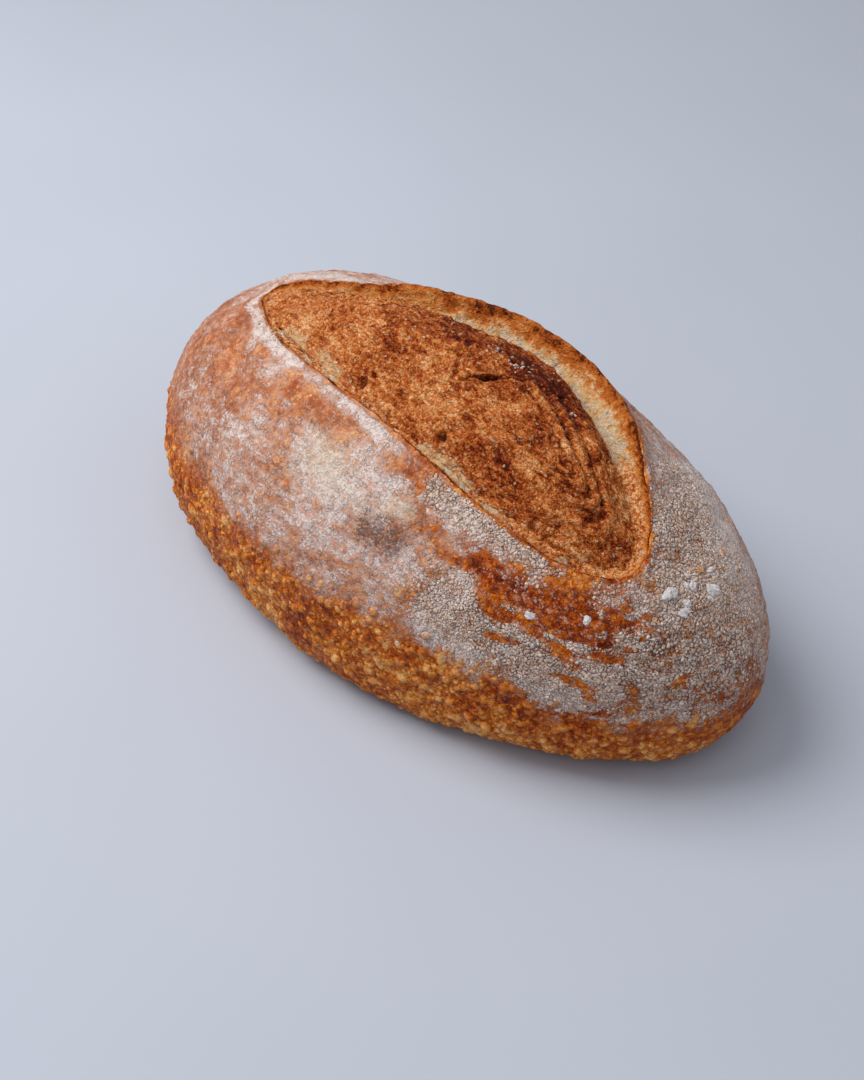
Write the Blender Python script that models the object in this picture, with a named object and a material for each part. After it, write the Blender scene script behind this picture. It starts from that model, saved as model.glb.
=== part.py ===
"""A long oval country loaf, baked on a hearth and opened by one lengthwise score.

The loaf is one solid. Its surface is a net of meridians that all start at the middle of the bloom, the
crumb that swelled up through the score. Each runs outwards over the bloom, down into the gutter beside it,
up the torn wall to the rim of the crust, down the flank, round the foot and in to the middle of the flat
base. Along +Y the rim stands up as the ear, the flap of crust that lifted while the loaf opened.

Metres, with +X along the loaf, +Z up and the base on Z = 0.
"""

import math
import random

import bmesh
import bpy
import numpy as np
from mathutils import Vector, noise

MM = 0.001

# The body of crust, as if the score had never opened
HALF_LENGTH = 150 * MM
HALF_WIDTH = 80 * MM
CRUST_HEIGHT = 112 * MM
GIRTH_HEIGHT = 34 * MM  # where the loaf is widest
BASE_SHARE = 0.79  # the flat base against the girth
FOOT_BULGE = 0.88  # below 1 makes the foot fuller than an ellipse
END_TAPER = -0.07  # share of width gained from the middle to the +X end
CROWN_TILT = 0.03  # share of height gained from the middle to the +X end
BOW = 7 * MM  # how far the two ends swing towards +Y

# The rim of the opened score, seen from above, in millimetres and anticlockwise from its -X tip
SCORE_RIM = (
    (-96, -7), (-86, -16), (-66, -26), (-35, -33.5), (0, -37.5), (45, -40), (83, -36), (104, -26),
    (110, -13), (97, 3), (73, 20), (42, 34), (8, 32), (-20, 21), (-55, 10), (-88, 3),
)
SCORE_CENTRE = (12 * MM, -5 * MM)
SCORE_HALF_LENGTH = 100 * MM
SCORE_HALF_WIDTH = 38 * MM
RIM_STEPS = 24  # curve points between two rim points

# Millimetres at stations round the score, in degrees anticlockwise from its +X end: how far the rim stands
# above the crust's own curve, how deep the gutter lies below it, how far inside the rim the gutter is, how
# far inside the rim the bloom has its shoulder, and how far the shoulder stands above the crust's curve
RIM_STATIONS = {
    0: (2.5, 2.5, 5.0, 17.0, 1.5),
    45: (8.0, 3.0, 8.5, 14.5, 3.0),
    90: (9.0, 2.5, 8.5, 14.5, 4.0),
    120: (8.0, 2.0, 7.5, 12.5, 3.5),
    150: (5.0, 1.2, 5.0, 9.0, 2.0),
    170: (2.0, 0.8, 4.0, 8.0, 0.8),
    185: (0.8, 0.8, 3.0, 7.0, 0.0),
    215: (0.8, 2.0, 3.0, 9.0, -0.5),
    270: (1.2, 3.0, 3.5, 11.0, -0.5),
    315: (1.5, 3.5, 5.0, 15.0, 0.5),
    340: (1.5, 2.5, 5.0, 18.0, 1.5),
}
EAR_FLARE = 12 * MM  # how far down the outer crust the lifted rim reaches
EAR_LEAN = 3 * MM  # how far the tallest rim leans outwards
EAR_CURL = 6 * MM  # how wide a strip of the rim leans
TALLEST_RIM = 9 * MM

# The bloom
BLOOM_RISE = 2 * MM  # its height over the crust's curve at its middle, before it is domed
BLOOM_DOME = 6.5 * MM
BLOOM_SKEW = 0.5  # above 0 puts the top of the dome towards the ear
FOLD_HEIGHT = 1.3 * MM  # the folds round its +X end
FOLD_PITCH = 8 * MM
FOLD_BAND = (13 * MM, 40 * MM)  # how far inside the rim the folds lie
FOLD_TURN = 62  # degrees round the end that they reach to either side

# Unevenness of the whole loaf, as (height, size) of soft lumps
LUMPS = ((2.0 * MM, 46 * MM), (0.8 * MM, 17 * MM), (0.35 * MM, 8 * MM))
LUMP_SEED = Vector((4.5, 7.2, 9.0))
FLAT_FOOT = 9 * MM  # the height over which lumps fade in above the base

# Blisters, the larger bubbles under the bare crust low on the -Y flank
BLISTER_COUNT = 40
BLISTER_ARC = (math.radians(212), math.radians(338))  # round the girth from +X
BLISTER_HEIGHTS = (7 * MM, 42 * MM)
BLISTER_RADII = (1.9 * MM, 4.2 * MM)
BLISTER_RISE = 0.42  # height against radius
BLISTER_SEED = 31
WELD = 0.35 * MM  # slivers narrower than this are closed where a blister joins the flank

# The net
MERIDIANS = 112
BLOOM_RINGS = 9
WALL_RINGS = 6
FLANK_RINGS = 18
FOOT_RINGS = 5
SAMPLES = 160  # points that measure each stretch of a meridian

CRUST_COLOUR = (0.42, 0.19, 0.07, 1.0)
CRUST_ROUGHNESS = 0.75


def smooth(t):
    """0 to 1 with no slope at either end."""
    t = np.clip(t, 0.0, 1.0)
    return t * t * (3.0 - 2.0 * t)


def closed_curve(points, steps):
    """A closed Catmull-Rom curve through the points."""
    t = np.linspace(0.0, 1.0, steps, endpoint=False)[:, None]
    before, start = np.roll(points, 1, axis=0), np.asarray(points, float)
    end, after = np.roll(points, -1, axis=0), np.roll(points, -2, axis=0)
    pieces = [
        0.5 * (2 * b + (c - a) * t + (2 * a - 5 * b + 4 * c - d) * t**2 + (3 * b - a - 3 * c + d) * t**3)
        for a, b, c, d in zip(before, start, end, after)
    ]
    return np.concatenate(pieces)


def polar_rim():
    """The score's rim about its centre: angles in rising order, and for each the radius and the share of a
    radial step that goes squarely across the rim."""
    curve = closed_curve(SCORE_RIM, RIM_STEPS) * MM - SCORE_CENTRE
    angle, radius = np.arctan2(curve[:, 1], curve[:, 0]), np.hypot(curve[:, 0], curve[:, 1])
    order = np.argsort(angle)
    angle, radius = angle[order], radius[order]
    slope = np.gradient(radius, angle)
    return angle, radius, radius / np.hypot(radius, slope)


RIM_ANGLE, RIM_RADIUS, RIM_SQUARENESS = polar_rim()


def turn_round(x, y):
    """Degrees round the score, anticlockwise from its +X end, as if it were a circle."""
    along, across = (x - SCORE_CENTRE[0]) / SCORE_HALF_LENGTH, (y - SCORE_CENTRE[1]) / SCORE_HALF_WIDTH
    return np.degrees(np.arctan2(across, along))


def station_values(x, y):
    """The five values of the rim's stations, in metres, for the part of the rim a point belongs to."""
    stations = sorted(RIM_STATIONS)
    columns = zip(*(RIM_STATIONS[s] for s in stations))
    turn = turn_round(x, y)
    return [np.interp(turn, stations, np.array(column) * MM, period=360) for column in columns]


def rim_frame(x, y):
    """How far a point lies from the score's centre, and there the rim's distance and squareness."""
    dx, dy = x - SCORE_CENTRE[0], y - SCORE_CENTRE[1]
    angle = np.arctan2(dy, dx)
    radius = np.interp(angle, RIM_ANGLE, RIM_RADIUS, period=math.tau)
    squareness = np.interp(angle, RIM_ANGLE, RIM_SQUARENESS, period=math.tau)
    return np.hypot(dx, dy), radius, squareness


def inside_rim(x, y):
    """How far a point lies inside the score's rim, squarely across it. It is below 0 out on the crust."""
    distance, radius, squareness = rim_frame(x, y)
    return (radius - distance) * squareness


def bow(along):
    return BOW * (along**2 - 0.3)


def girth_point(turn):
    """The widest line of the loaf, seen from above."""
    along, across = np.cos(turn), np.sin(turn)
    return HALF_LENGTH * along, HALF_WIDTH * (1 + END_TAPER * along) * across + bow(along)


def crust_height(x, y):
    """Height of the unopened crust."""
    along = x / HALF_LENGTH
    across = (y - bow(along)) / (HALF_WIDTH * (1 + END_TAPER * along))
    left = np.sqrt(np.clip(1.0 - along**2 - across**2, 0.0, 1.0))
    return GIRTH_HEIGHT + (CRUST_HEIGHT - GIRTH_HEIGHT) * (1 + CROWN_TILT * along) * left


def folds(x, y, inside):
    """Low folds that curve round the bloom's +X end."""
    near, far = FOLD_BAND
    band = smooth((inside - near) / FOLD_PITCH) * smooth((far - inside) / FOLD_PITCH)
    end = smooth(1.3 * (1 - np.abs(turn_round(x, y)) / FOLD_TURN))
    return FOLD_HEIGHT * band * end * np.sin(math.tau * (inside - near) / FOLD_PITCH)


def top_height(x, y):
    """Height of the loaf's upper side, with its rim, gutter and bloom."""
    lip, gutter, reach, shoulder, shelf = station_values(x, y)
    distance, radius, squareness = rim_frame(x, y)
    inside = (radius - distance) * squareness
    outer = lip * np.exp(np.minimum(inside, 0.0) / EAR_FLARE)

    wall = lip - (lip + gutter) * (1 - (1 - np.clip(inside / reach, 0.0, 1.0)) ** 2)
    share = np.minimum(1.0, distance / (radius - shoulder / squareness))
    level = BLOOM_RISE + (shelf - BLOOM_RISE) * share**2
    bank = (gutter + level) * smooth((inside - reach) / (shoulder - reach))
    skew = 1 + BLOOM_SKEW * (y - SCORE_CENTRE[1]) / SCORE_HALF_WIDTH
    dome = BLOOM_DOME * (1 - share**2) ** 1.5 * skew
    opened = wall + bank + dome + folds(x, y, inside)
    return crust_height(x, y) + np.where(inside < 0.0, outer, opened)


def leaned(x, y):
    """A plan point moved outwards where the ear leans."""
    lip = station_values(x, y)[0]
    shift = EAR_LEAN * (lip / TALLEST_RIM) * np.exp(-((inside_rim(x, y) / EAR_CURL) ** 2))
    dx, dy = x - SCORE_CENTRE[0], y - SCORE_CENTRE[1]
    span = np.maximum(np.hypot(dx, dy), MM)
    return x + shift * dx / span, y + shift * dy / span


def spaced(points, count, ends=(False, True)):
    """count points at even spacing along a dense line, with or without each of its ends."""
    steps = np.linalg.norm(np.diff(points, axis=0), axis=1)
    length = np.concatenate([[0.0], np.cumsum(steps)])
    first, last = ends
    share = np.linspace(0.0, 1.0, count + (not first) + (not last))
    share = share[(not first) : len(share) - (not last)]
    return np.stack([np.interp(share * length[-1], length, points[:, i]) for i in range(3)], axis=1)


def stretch(turn, start, stop):
    """A dense line over the top along one meridian, between two plan distances from the score's centre."""
    gx, gy = girth_point(turn)
    reach = math.hypot(gx - SCORE_CENTRE[0], gy - SCORE_CENTRE[1])
    bearing = (gx - SCORE_CENTRE[0]) / reach, (gy - SCORE_CENTRE[1]) / reach
    # Sine spacing, because the crust stands upright where it reaches the girth
    sweep = np.linspace(math.asin(start / reach), math.asin(min(1.0, stop / reach)), SAMPLES)
    distance = reach * np.sin(sweep)
    x, y = SCORE_CENTRE[0] + bearing[0] * distance, SCORE_CENTRE[1] + bearing[1] * distance
    return np.stack([*leaned(x, y), top_height(x, y)], axis=1)


def foot(turn):
    """A dense line from the girth down round the foot to the edge of the base."""
    gx, gy = girth_point(turn)
    sweep = np.linspace(0.0, math.pi / 2, SAMPLES)
    share = BASE_SHARE + (1 - BASE_SHARE) * np.cos(sweep) ** FOOT_BULGE
    height = GIRTH_HEIGHT * (1 - np.sin(sweep) ** FOOT_BULGE)
    return np.stack([gx * share, gy * share, height], axis=1)


def meridian(turn):
    """The net's points along one meridian, from just off the bloom's middle to the edge of the base."""
    gx, gy = girth_point(turn)
    dx, dy = gx - SCORE_CENTRE[0], gy - SCORE_CENTRE[1]
    angle = math.atan2(dy, dx)
    rim = float(np.interp(angle, RIM_ANGLE, RIM_RADIUS, period=math.tau))
    squareness = float(np.interp(angle, RIM_ANGLE, RIM_SQUARENESS, period=math.tau))
    rim_x, rim_y = SCORE_CENTRE[0] + rim * math.cos(angle), SCORE_CENTRE[1] + rim * math.sin(angle)
    shoulder = rim - float(station_values(rim_x, rim_y)[3]) / squareness
    return np.concatenate([
        spaced(stretch(turn, 0.0, shoulder), BLOOM_RINGS),
        spaced(stretch(turn, shoulder, rim), WALL_RINGS),
        spaced(stretch(turn, rim, math.hypot(dx, dy)), FLANK_RINGS),
        spaced(foot(turn), FOOT_RINGS),
    ])


def add_lumps(bm):
    """Pushes the surface in and out along its normals by soft noise that fades towards the base."""
    bm.normal_update()
    moves = []
    for vert in bm.verts:
        push = sum(high * noise.noise(vert.co / size + LUMP_SEED) for high, size in LUMPS)
        moves.append(vert.normal * (push * float(smooth(vert.co.z / FLAT_FOOT))))
    for vert, move in zip(bm.verts, moves):
        vert.co += move


def net():
    """The loaf's skin without blisters: a sphere of rings whose points are moved to the meridians."""
    rings = BLOOM_RINGS + WALL_RINGS + FLANK_RINGS + FOOT_RINGS
    bm = bmesh.new()
    bmesh.ops.create_uvsphere(bm, u_segments=MERIDIANS, v_segments=rings + 1, radius=1.0)
    lines = [meridian(math.tau * i / MERIDIANS) for i in range(MERIDIANS)]
    middle = float(top_height(np.float64(SCORE_CENTRE[0]), np.float64(SCORE_CENTRE[1])))
    for vert in bm.verts:
        ring = round(math.acos(max(-1.0, min(1.0, vert.co.z))) / math.pi * (rings + 1))
        column = round(math.atan2(vert.co.y, vert.co.x) / math.tau * MERIDIANS) % MERIDIANS
        if ring == 0:
            vert.co = (*SCORE_CENTRE, middle)
        elif ring > rings:
            vert.co = (0.0, 0.0, 0.0)
        else:
            vert.co = lines[column][ring - 1]
    bmesh.ops.recalc_face_normals(bm, faces=bm.faces)
    add_lumps(bm)
    return bm


def centre_on_base(bm):
    """Moves the loaf so that the middle of its outline is at the origin."""
    xs, ys = [v.co.x for v in bm.verts], [v.co.y for v in bm.verts]
    middle = Vector(((min(xs) + max(xs)) / 2, (min(ys) + max(ys)) / 2, 0.0))
    bmesh.ops.translate(bm, verts=bm.verts, vec=-middle)


def blister_spots():
    """(turn round the girth, height, radius) of each blister, the largest first and none on another."""
    draw = random.Random(BLISTER_SEED)
    spots = []
    while len(spots) < BLISTER_COUNT:
        share = len(spots) / BLISTER_COUNT
        radius = BLISTER_RADII[1] + (BLISTER_RADII[0] - BLISTER_RADII[1]) * math.sqrt(share)
        turn = draw.uniform(*BLISTER_ARC)
        height = draw.uniform(*BLISTER_HEIGHTS)
        across = [HALF_LENGTH * (math.cos(turn) - math.cos(t)) for t, _, _ in spots]
        clear = [math.hypot(a, height - h) > 1.15 * (radius + r) for a, (_, h, r) in zip(across, spots)]
        if all(clear):
            spots.append((turn, height, radius))
    return spots


def blister(skin, turn, height, radius):
    """A squashed ball that stands out of the flank at its spot."""
    gx, gy = girth_point(turn)
    aim = Vector((gx, gy, 0.0)).normalized()
    hit = skin.ray_cast(Vector((aim.x, aim.y, 0.0)) * HALF_LENGTH * 2 + Vector((0, 0, height)), -aim)
    _, place, normal, _ = hit
    bm = bmesh.new()
    bmesh.ops.create_icosphere(bm, subdivisions=2, radius=radius)
    bmesh.ops.scale(bm, verts=bm.verts, vec=(1.0, 1.0, BLISTER_RISE))
    turned = normal.to_track_quat("Z", "Y").to_matrix()
    bmesh.ops.rotate(bm, verts=bm.verts, cent=(0, 0, 0), matrix=turned)
    bmesh.ops.translate(bm, verts=bm.verts, vec=place)
    return bm


def crust_material():
    material = bpy.data.materials.new("baked_crust")
    material.use_nodes = True
    shader = material.node_tree.nodes["Principled BSDF"]
    shader.inputs["Base Color"].default_value = CRUST_COLOUR
    shader.inputs["Roughness"].default_value = CRUST_ROUGHNESS
    shader.inputs["Metallic"].default_value = 0.0
    return material


def add_object(name, bm, collection):
    mesh = bpy.data.meshes.new(name)
    bm.to_mesh(mesh)
    bm.free()
    obj = bpy.data.objects.new(name, mesh)
    collection.objects.link(obj)
    return obj


def fuse(obj, helpers):
    """Joins the helpers to the object with one union, then removes them."""
    union = obj.modifiers.new("blisters", "BOOLEAN")
    union.operation = "UNION"
    union.operand_type = "COLLECTION"
    union.collection = helpers
    union.solver = "MANIFOLD"
    bpy.context.view_layer.update()
    graph = bpy.context.evaluated_depsgraph_get()
    fused = bpy.data.meshes.new_from_object(obj.evaluated_get(graph))
    obj.modifiers.clear()
    obj.data = fused
    bm = bmesh.new()
    bm.from_mesh(fused)
    seams = [v for v in bm.verts if v.co.z < BLISTER_HEIGHTS[1] + 2 * BLISTER_RADII[1]]
    bmesh.ops.remove_doubles(bm, verts=seams, dist=WELD)
    seam_edges = [e for e in bm.edges if all(v.co.z < BLISTER_HEIGHTS[1] + BLISTER_RADII[1] for v in e.verts)]
    bmesh.ops.dissolve_degenerate(bm, edges=seam_edges, dist=WELD)
    bm.to_mesh(fused)
    bm.free()
    for helper in list(helpers.objects):
        bpy.data.objects.remove(helper)
    bpy.data.collections.remove(helpers)


def main():
    for obj in list(bpy.data.objects):
        bpy.data.objects.remove(obj)
    scene = bpy.context.scene.collection
    bm = net()
    centre_on_base(bm)
    loaf = add_object("loaf", bm, scene)
    bpy.context.view_layer.update()
    bubbles = bpy.data.collections.new("bubbles")
    scene.children.link(bubbles)
    for i, spot in enumerate(blister_spots()):
        add_object(f"blister_{i}", blister(loaf, *spot), bubbles)
    fuse(loaf, bubbles)
    loaf.data.materials.clear()
    loaf.data.materials.append(crust_material())
    loaf.data.shade_smooth()


main()
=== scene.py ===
import math
import random

import bmesh
import bpy
import numpy as np
from mathutils import Matrix, Vector, noise
from mathutils.bvhtree import BVHTree


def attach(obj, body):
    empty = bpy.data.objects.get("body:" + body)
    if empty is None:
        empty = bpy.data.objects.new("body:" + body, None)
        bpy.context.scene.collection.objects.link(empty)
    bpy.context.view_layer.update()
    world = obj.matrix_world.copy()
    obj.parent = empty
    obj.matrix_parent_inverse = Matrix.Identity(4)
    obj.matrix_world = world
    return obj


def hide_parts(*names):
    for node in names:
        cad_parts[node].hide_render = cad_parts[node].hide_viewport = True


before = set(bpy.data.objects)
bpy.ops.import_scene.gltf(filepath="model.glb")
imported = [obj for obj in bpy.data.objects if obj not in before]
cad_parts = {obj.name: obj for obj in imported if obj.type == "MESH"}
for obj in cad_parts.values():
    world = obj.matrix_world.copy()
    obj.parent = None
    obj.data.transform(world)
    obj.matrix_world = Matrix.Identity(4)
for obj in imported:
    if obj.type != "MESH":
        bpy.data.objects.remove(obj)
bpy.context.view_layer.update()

MM = 0.001

# The camera, fitted to the loaf's outline
CAMERA_TURN = math.radians(45.0)
CAMERA_RISE = math.radians(42.0)
CAMERA_DISTANCE = 0.608
CAMERA_AIM = Vector((0.0, 0.0, 0.04))
CAMERA_LENS = 50.0
CAMERA_SENSOR = 36.0
PHOTO_SIZE = (864, 1080)
AIM_PIXEL = (438.2, 496.9)  # where CAMERA_AIM falls in the photo's frame


# The loaf's form, from the same named sizes as its solid

HALF_LENGTH = 150 * MM
HALF_WIDTH = 80 * MM
CRUST_HEIGHT = 112 * MM
GIRTH_HEIGHT = 34 * MM
BASE_SHARE = 0.79
FOOT_BULGE = 0.88
END_TAPER = -0.07
CROWN_TILT = 0.03
BOW = 7 * MM

SCORE_RIM = (
    (-96, -7), (-86, -16), (-66, -26), (-35, -33.5), (0, -37.5), (45, -40), (83, -36), (104, -26),
    (110, -13), (97, 3), (73, 20), (42, 34), (8, 32), (-20, 21), (-55, 10), (-88, 3),
)
SCORE_CENTRE = (12 * MM, -5 * MM)
SCORE_HALF_LENGTH = 100 * MM
SCORE_HALF_WIDTH = 38 * MM
RIM_STEPS = 24

# Rim height, gutter depth, gutter reach, shoulder reach and shoulder height, by degrees round the score
RIM_STATIONS = {
    0: (2.5, 2.5, 5.0, 17.0, 1.5),
    45: (8.0, 3.0, 8.5, 14.5, 3.0),
    90: (9.0, 2.5, 8.5, 14.5, 4.0),
    120: (8.0, 2.0, 7.5, 12.5, 3.5),
    150: (5.0, 1.2, 5.0, 9.0, 2.0),
    170: (2.0, 0.8, 4.0, 8.0, 0.8),
    185: (0.8, 0.8, 3.0, 7.0, 0.0),
    215: (0.8, 2.0, 3.0, 9.0, -0.5),
    270: (1.2, 3.0, 3.5, 11.0, -0.5),
    315: (1.5, 3.5, 5.0, 15.0, 0.5),
    340: (1.5, 2.5, 5.0, 18.0, 1.5),
}
EAR_FLARE = 12 * MM
EAR_LEAN = 3 * MM
EAR_CURL = 6 * MM
TALLEST_RIM = 9 * MM

BLOOM_RISE = 2 * MM
BLOOM_DOME = 6.5 * MM
BLOOM_SKEW = 0.5
FOLD_HEIGHT = 1.3 * MM
FOLD_PITCH = 8 * MM
FOLD_BAND = (13 * MM, 40 * MM)
FOLD_TURN = 62

LUMPS = ((2.0 * MM, 46 * MM), (0.8 * MM, 17 * MM), (0.35 * MM, 8 * MM))
LUMP_SEED = Vector((4.5, 7.2, 9.0))
FLAT_FOOT = 9 * MM

BLISTER_COUNT = 40
BLISTER_ARC = (math.radians(212), math.radians(338))
BLISTER_HEIGHTS = (7 * MM, 42 * MM)
BLISTER_RADII = (1.9 * MM, 4.2 * MM)
BLISTER_RISE = 0.42
BLISTER_SEED = 31
BLISTER_SUNK = 0.6  # share of a dome's height that is under the crust

# The finer nets of the scene's pieces
CRUST_COLUMNS = 560
FLANK_RINGS = 88
FOOT_RINGS = 44
BASE_RINGS = 6
WALL_RINGS = 18
HIDDEN_RINGS = 3
BLOOM_COLUMNS = 620
BLOOM_RINGS = 138
SKIRT_RINGS = 4
NEAR_SIDE_GAIN = 0.32  # how much closer the columns stand on the -Y side
SAMPLES = 400


def smooth(t):
    """0 to 1 with no slope at either end."""
    t = np.clip(t, 0.0, 1.0)
    return t * t * (3.0 - 2.0 * t)


def closed_curve(points, steps):
    """A closed Catmull-Rom curve through the points."""
    t = np.linspace(0.0, 1.0, steps, endpoint=False)[:, None]
    before, start = np.roll(points, 1, axis=0), np.asarray(points, float)
    end, after = np.roll(points, -1, axis=0), np.roll(points, -2, axis=0)
    pieces = [
        0.5 * (2 * b + (c - a) * t + (2 * a - 5 * b + 4 * c - d) * t**2 + (3 * b - a - 3 * c + d) * t**3)
        for a, b, c, d in zip(before, start, end, after)
    ]
    return np.concatenate(pieces)


def polar_rim():
    """The rim about the score's centre: angles, radii, and the share of a radial step squarely across it."""
    curve = closed_curve(SCORE_RIM, RIM_STEPS) * MM - SCORE_CENTRE
    angle, radius = np.arctan2(curve[:, 1], curve[:, 0]), np.hypot(curve[:, 0], curve[:, 1])
    order = np.argsort(angle)
    angle, radius = angle[order], radius[order]
    slope = np.gradient(radius, angle)
    return angle, radius, radius / np.hypot(radius, slope)


RIM_ANGLE, RIM_RADIUS, RIM_SQUARENESS = polar_rim()


def turn_round(x, y):
    """Degrees round the score, anticlockwise from its +X end, as if it were a circle."""
    along, across = (x - SCORE_CENTRE[0]) / SCORE_HALF_LENGTH, (y - SCORE_CENTRE[1]) / SCORE_HALF_WIDTH
    return np.degrees(np.arctan2(across, along))


def station_values(x, y):
    stations = sorted(RIM_STATIONS)
    columns = zip(*(RIM_STATIONS[s] for s in stations))
    turn = turn_round(x, y)
    return [np.interp(turn, stations, np.array(column) * MM, period=360) for column in columns]


def rim_frame(x, y):
    """How far a point lies from the score's centre, and there the rim's distance and squareness."""
    dx, dy = x - SCORE_CENTRE[0], y - SCORE_CENTRE[1]
    angle = np.arctan2(dy, dx)
    radius = np.interp(angle, RIM_ANGLE, RIM_RADIUS, period=math.tau)
    squareness = np.interp(angle, RIM_ANGLE, RIM_SQUARENESS, period=math.tau)
    return np.hypot(dx, dy), radius, squareness


def inside_rim(x, y):
    """How far a point lies inside the rim, squarely across it. It is below 0 out on the crust."""
    distance, radius, squareness = rim_frame(x, y)
    return (radius - distance) * squareness


def bow(along):
    return BOW * (along**2 - 0.3)


def girth_point(turn):
    """The widest line of the loaf, seen from above."""
    along, across = np.cos(turn), np.sin(turn)
    return HALF_LENGTH * along, HALF_WIDTH * (1 + END_TAPER * along) * across + bow(along)


def crust_height(x, y):
    """Height of the unopened crust."""
    along = x / HALF_LENGTH
    across = (y - bow(along)) / (HALF_WIDTH * (1 + END_TAPER * along))
    left = np.sqrt(np.clip(1.0 - along**2 - across**2, 0.0, 1.0))
    return GIRTH_HEIGHT + (CRUST_HEIGHT - GIRTH_HEIGHT) * (1 + CROWN_TILT * along) * left


def folds(x, y, inside):
    near, far = FOLD_BAND
    band = smooth((inside - near) / FOLD_PITCH) * smooth((far - inside) / FOLD_PITCH)
    end = smooth(1.3 * (1 - np.abs(turn_round(x, y)) / FOLD_TURN))
    return FOLD_HEIGHT * band * end * np.sin(math.tau * (inside - near) / FOLD_PITCH)


def wall_height(x, y):
    """Height over the crust's curve of the torn wall that drops from the rim into the gutter."""
    lip, gutter, reach, _, _ = station_values(x, y)
    return lip - (lip + gutter) * (1 - (1 - np.clip(inside_rim(x, y) / reach, 0.0, 1.0)) ** 2)


def bloom_height(x, y):
    """Height over the crust's curve of the bloom, gutter included."""
    _, gutter, reach, shoulder, shelf = station_values(x, y)
    distance, radius, squareness = rim_frame(x, y)
    inside = (radius - distance) * squareness
    share = np.minimum(1.0, distance / (radius - shoulder / squareness))
    level = BLOOM_RISE + (shelf - BLOOM_RISE) * share**2
    bank = (gutter + level) * smooth((inside - reach) / (shoulder - reach))
    skew = 1 + BLOOM_SKEW * (y - SCORE_CENTRE[1]) / SCORE_HALF_WIDTH
    dome = BLOOM_DOME * (1 - share**2) ** 1.5 * skew
    return wall_height(x, y) + bank + dome + folds(x, y, inside)


def outer_height(x, y):
    """Height over the crust's curve of the crust outside the rim."""
    return station_values(x, y)[0] * np.exp(np.minimum(inside_rim(x, y), 0.0) / EAR_FLARE)


def leaned(x, y):
    """A plan point moved outwards where the ear leans."""
    lip = station_values(x, y)[0]
    shift = EAR_LEAN * (lip / TALLEST_RIM) * np.exp(-((inside_rim(x, y) / EAR_CURL) ** 2))
    dx, dy = x - SCORE_CENTRE[0], y - SCORE_CENTRE[1]
    span = np.maximum(np.hypot(dx, dy), MM)
    return x + shift * dx / span, y + shift * dy / span


def spaced(points, count, first=False, last=True, ease=1.0):
    """count points along a dense line, evenly or, with ease above 1, closer together at its start."""
    steps = np.linalg.norm(np.diff(points, axis=0), axis=1)
    length = np.concatenate([[0.0], np.cumsum(steps)])
    share = np.linspace(0.0, 1.0, count + (not first) + (not last)) ** ease
    share = share[(not first) : len(share) - (not last)]
    return np.stack([np.interp(share * length[-1], length, points[:, i]) for i in range(3)], axis=1)


class Bearing:
    """One meridian of the loaf, from the score's centre out to a point of the girth."""

    def __init__(self, turn):
        self.gx, self.gy = girth_point(turn)
        dx, dy = self.gx - SCORE_CENTRE[0], self.gy - SCORE_CENTRE[1]
        self.reach = math.hypot(dx, dy)
        self.way = dx / self.reach, dy / self.reach
        angle = math.atan2(dy, dx)
        self.rim = float(np.interp(angle, RIM_ANGLE, RIM_RADIUS, period=math.tau))
        self.squareness = float(np.interp(angle, RIM_ANGLE, RIM_SQUARENESS, period=math.tau))
        rim_x, rim_y = (c + self.rim * w for c, w in zip(SCORE_CENTRE, self.way))
        self.lip, self.gutter, self.gutter_reach, _, _ = (float(v) for v in station_values(rim_x, rim_y))

    def line(self, start, stop, height):
        """A dense line over the top between two plan distances from the score's centre."""
        sweep = np.linspace(math.asin(start / self.reach), math.asin(min(1.0, stop / self.reach)), SAMPLES)
        distance = self.reach * np.sin(sweep)
        x, y = (c + w * distance for c, w in zip(SCORE_CENTRE, self.way))
        return np.stack([*leaned(x, y), crust_height(x, y) + height(x, y)], axis=1)

    def foot(self):
        """A dense line from the girth down round the foot to the edge of the base."""
        sweep = np.linspace(0.0, math.pi / 2, SAMPLES)
        share = BASE_SHARE + (1 - BASE_SHARE) * np.cos(sweep) ** FOOT_BULGE
        height = GIRTH_HEIGHT * (1 - np.sin(sweep) ** FOOT_BULGE)
        return np.stack([self.gx * share, self.gy * share, height], axis=1)


HIDDEN_DEPTH = 14 * MM  # how far under the bloom's middle the crust piece closes


def crust_line(turn):
    """The crust piece's points along one meridian, from beneath the bloom to the middle of the base."""
    b = Bearing(turn)
    gutter_bottom = b.rim - b.gutter_reach / b.squareness
    wall = b.line(gutter_bottom, b.rim, wall_height)
    top = np.array([*SCORE_CENTRE, float(crust_height(*SCORE_CENTRE)) - HIDDEN_DEPTH])
    base_edge = b.foot()[-1]
    return np.concatenate([
        spaced(np.stack([top, wall[0]]), HIDDEN_RINGS),
        spaced(wall, WALL_RINGS),
        spaced(b.line(b.rim, b.reach, outer_height), FLANK_RINGS, ease=1.12),
        spaced(b.foot(), FOOT_RINGS),
        spaced(np.stack([base_edge, np.zeros(3)]), BASE_RINGS, last=False),
    ])


BLOOM_TUCK = 0.72  # where the bloom's edge dives under the wall, against the gutter's reach
BLOOM_SINK = 2.5 * MM
BLOOM_THICKNESS = 9 * MM


def bloom_line(turn):
    """The bloom piece's points along one meridian, from its middle over its edge to its underside."""
    b = Bearing(turn)
    edge = b.rim - BLOOM_TUCK * b.gutter_reach / b.squareness
    over = b.line(0.0, edge, lambda x, y: bloom_height(x, y) - edge_sink(x, y))
    under = np.array([*SCORE_CENTRE, float(crust_height(*SCORE_CENTRE) + BLOOM_DOME) - BLOOM_THICKNESS])
    skirt = np.stack([over[-1], over[-1] - [0.0, 0.0, BLOOM_SINK]])
    return np.concatenate([
        spaced(over, BLOOM_RINGS),
        spaced(skirt, SKIRT_RINGS),
        spaced(np.stack([skirt[-1], under]), 2, last=False),
    ])


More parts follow.
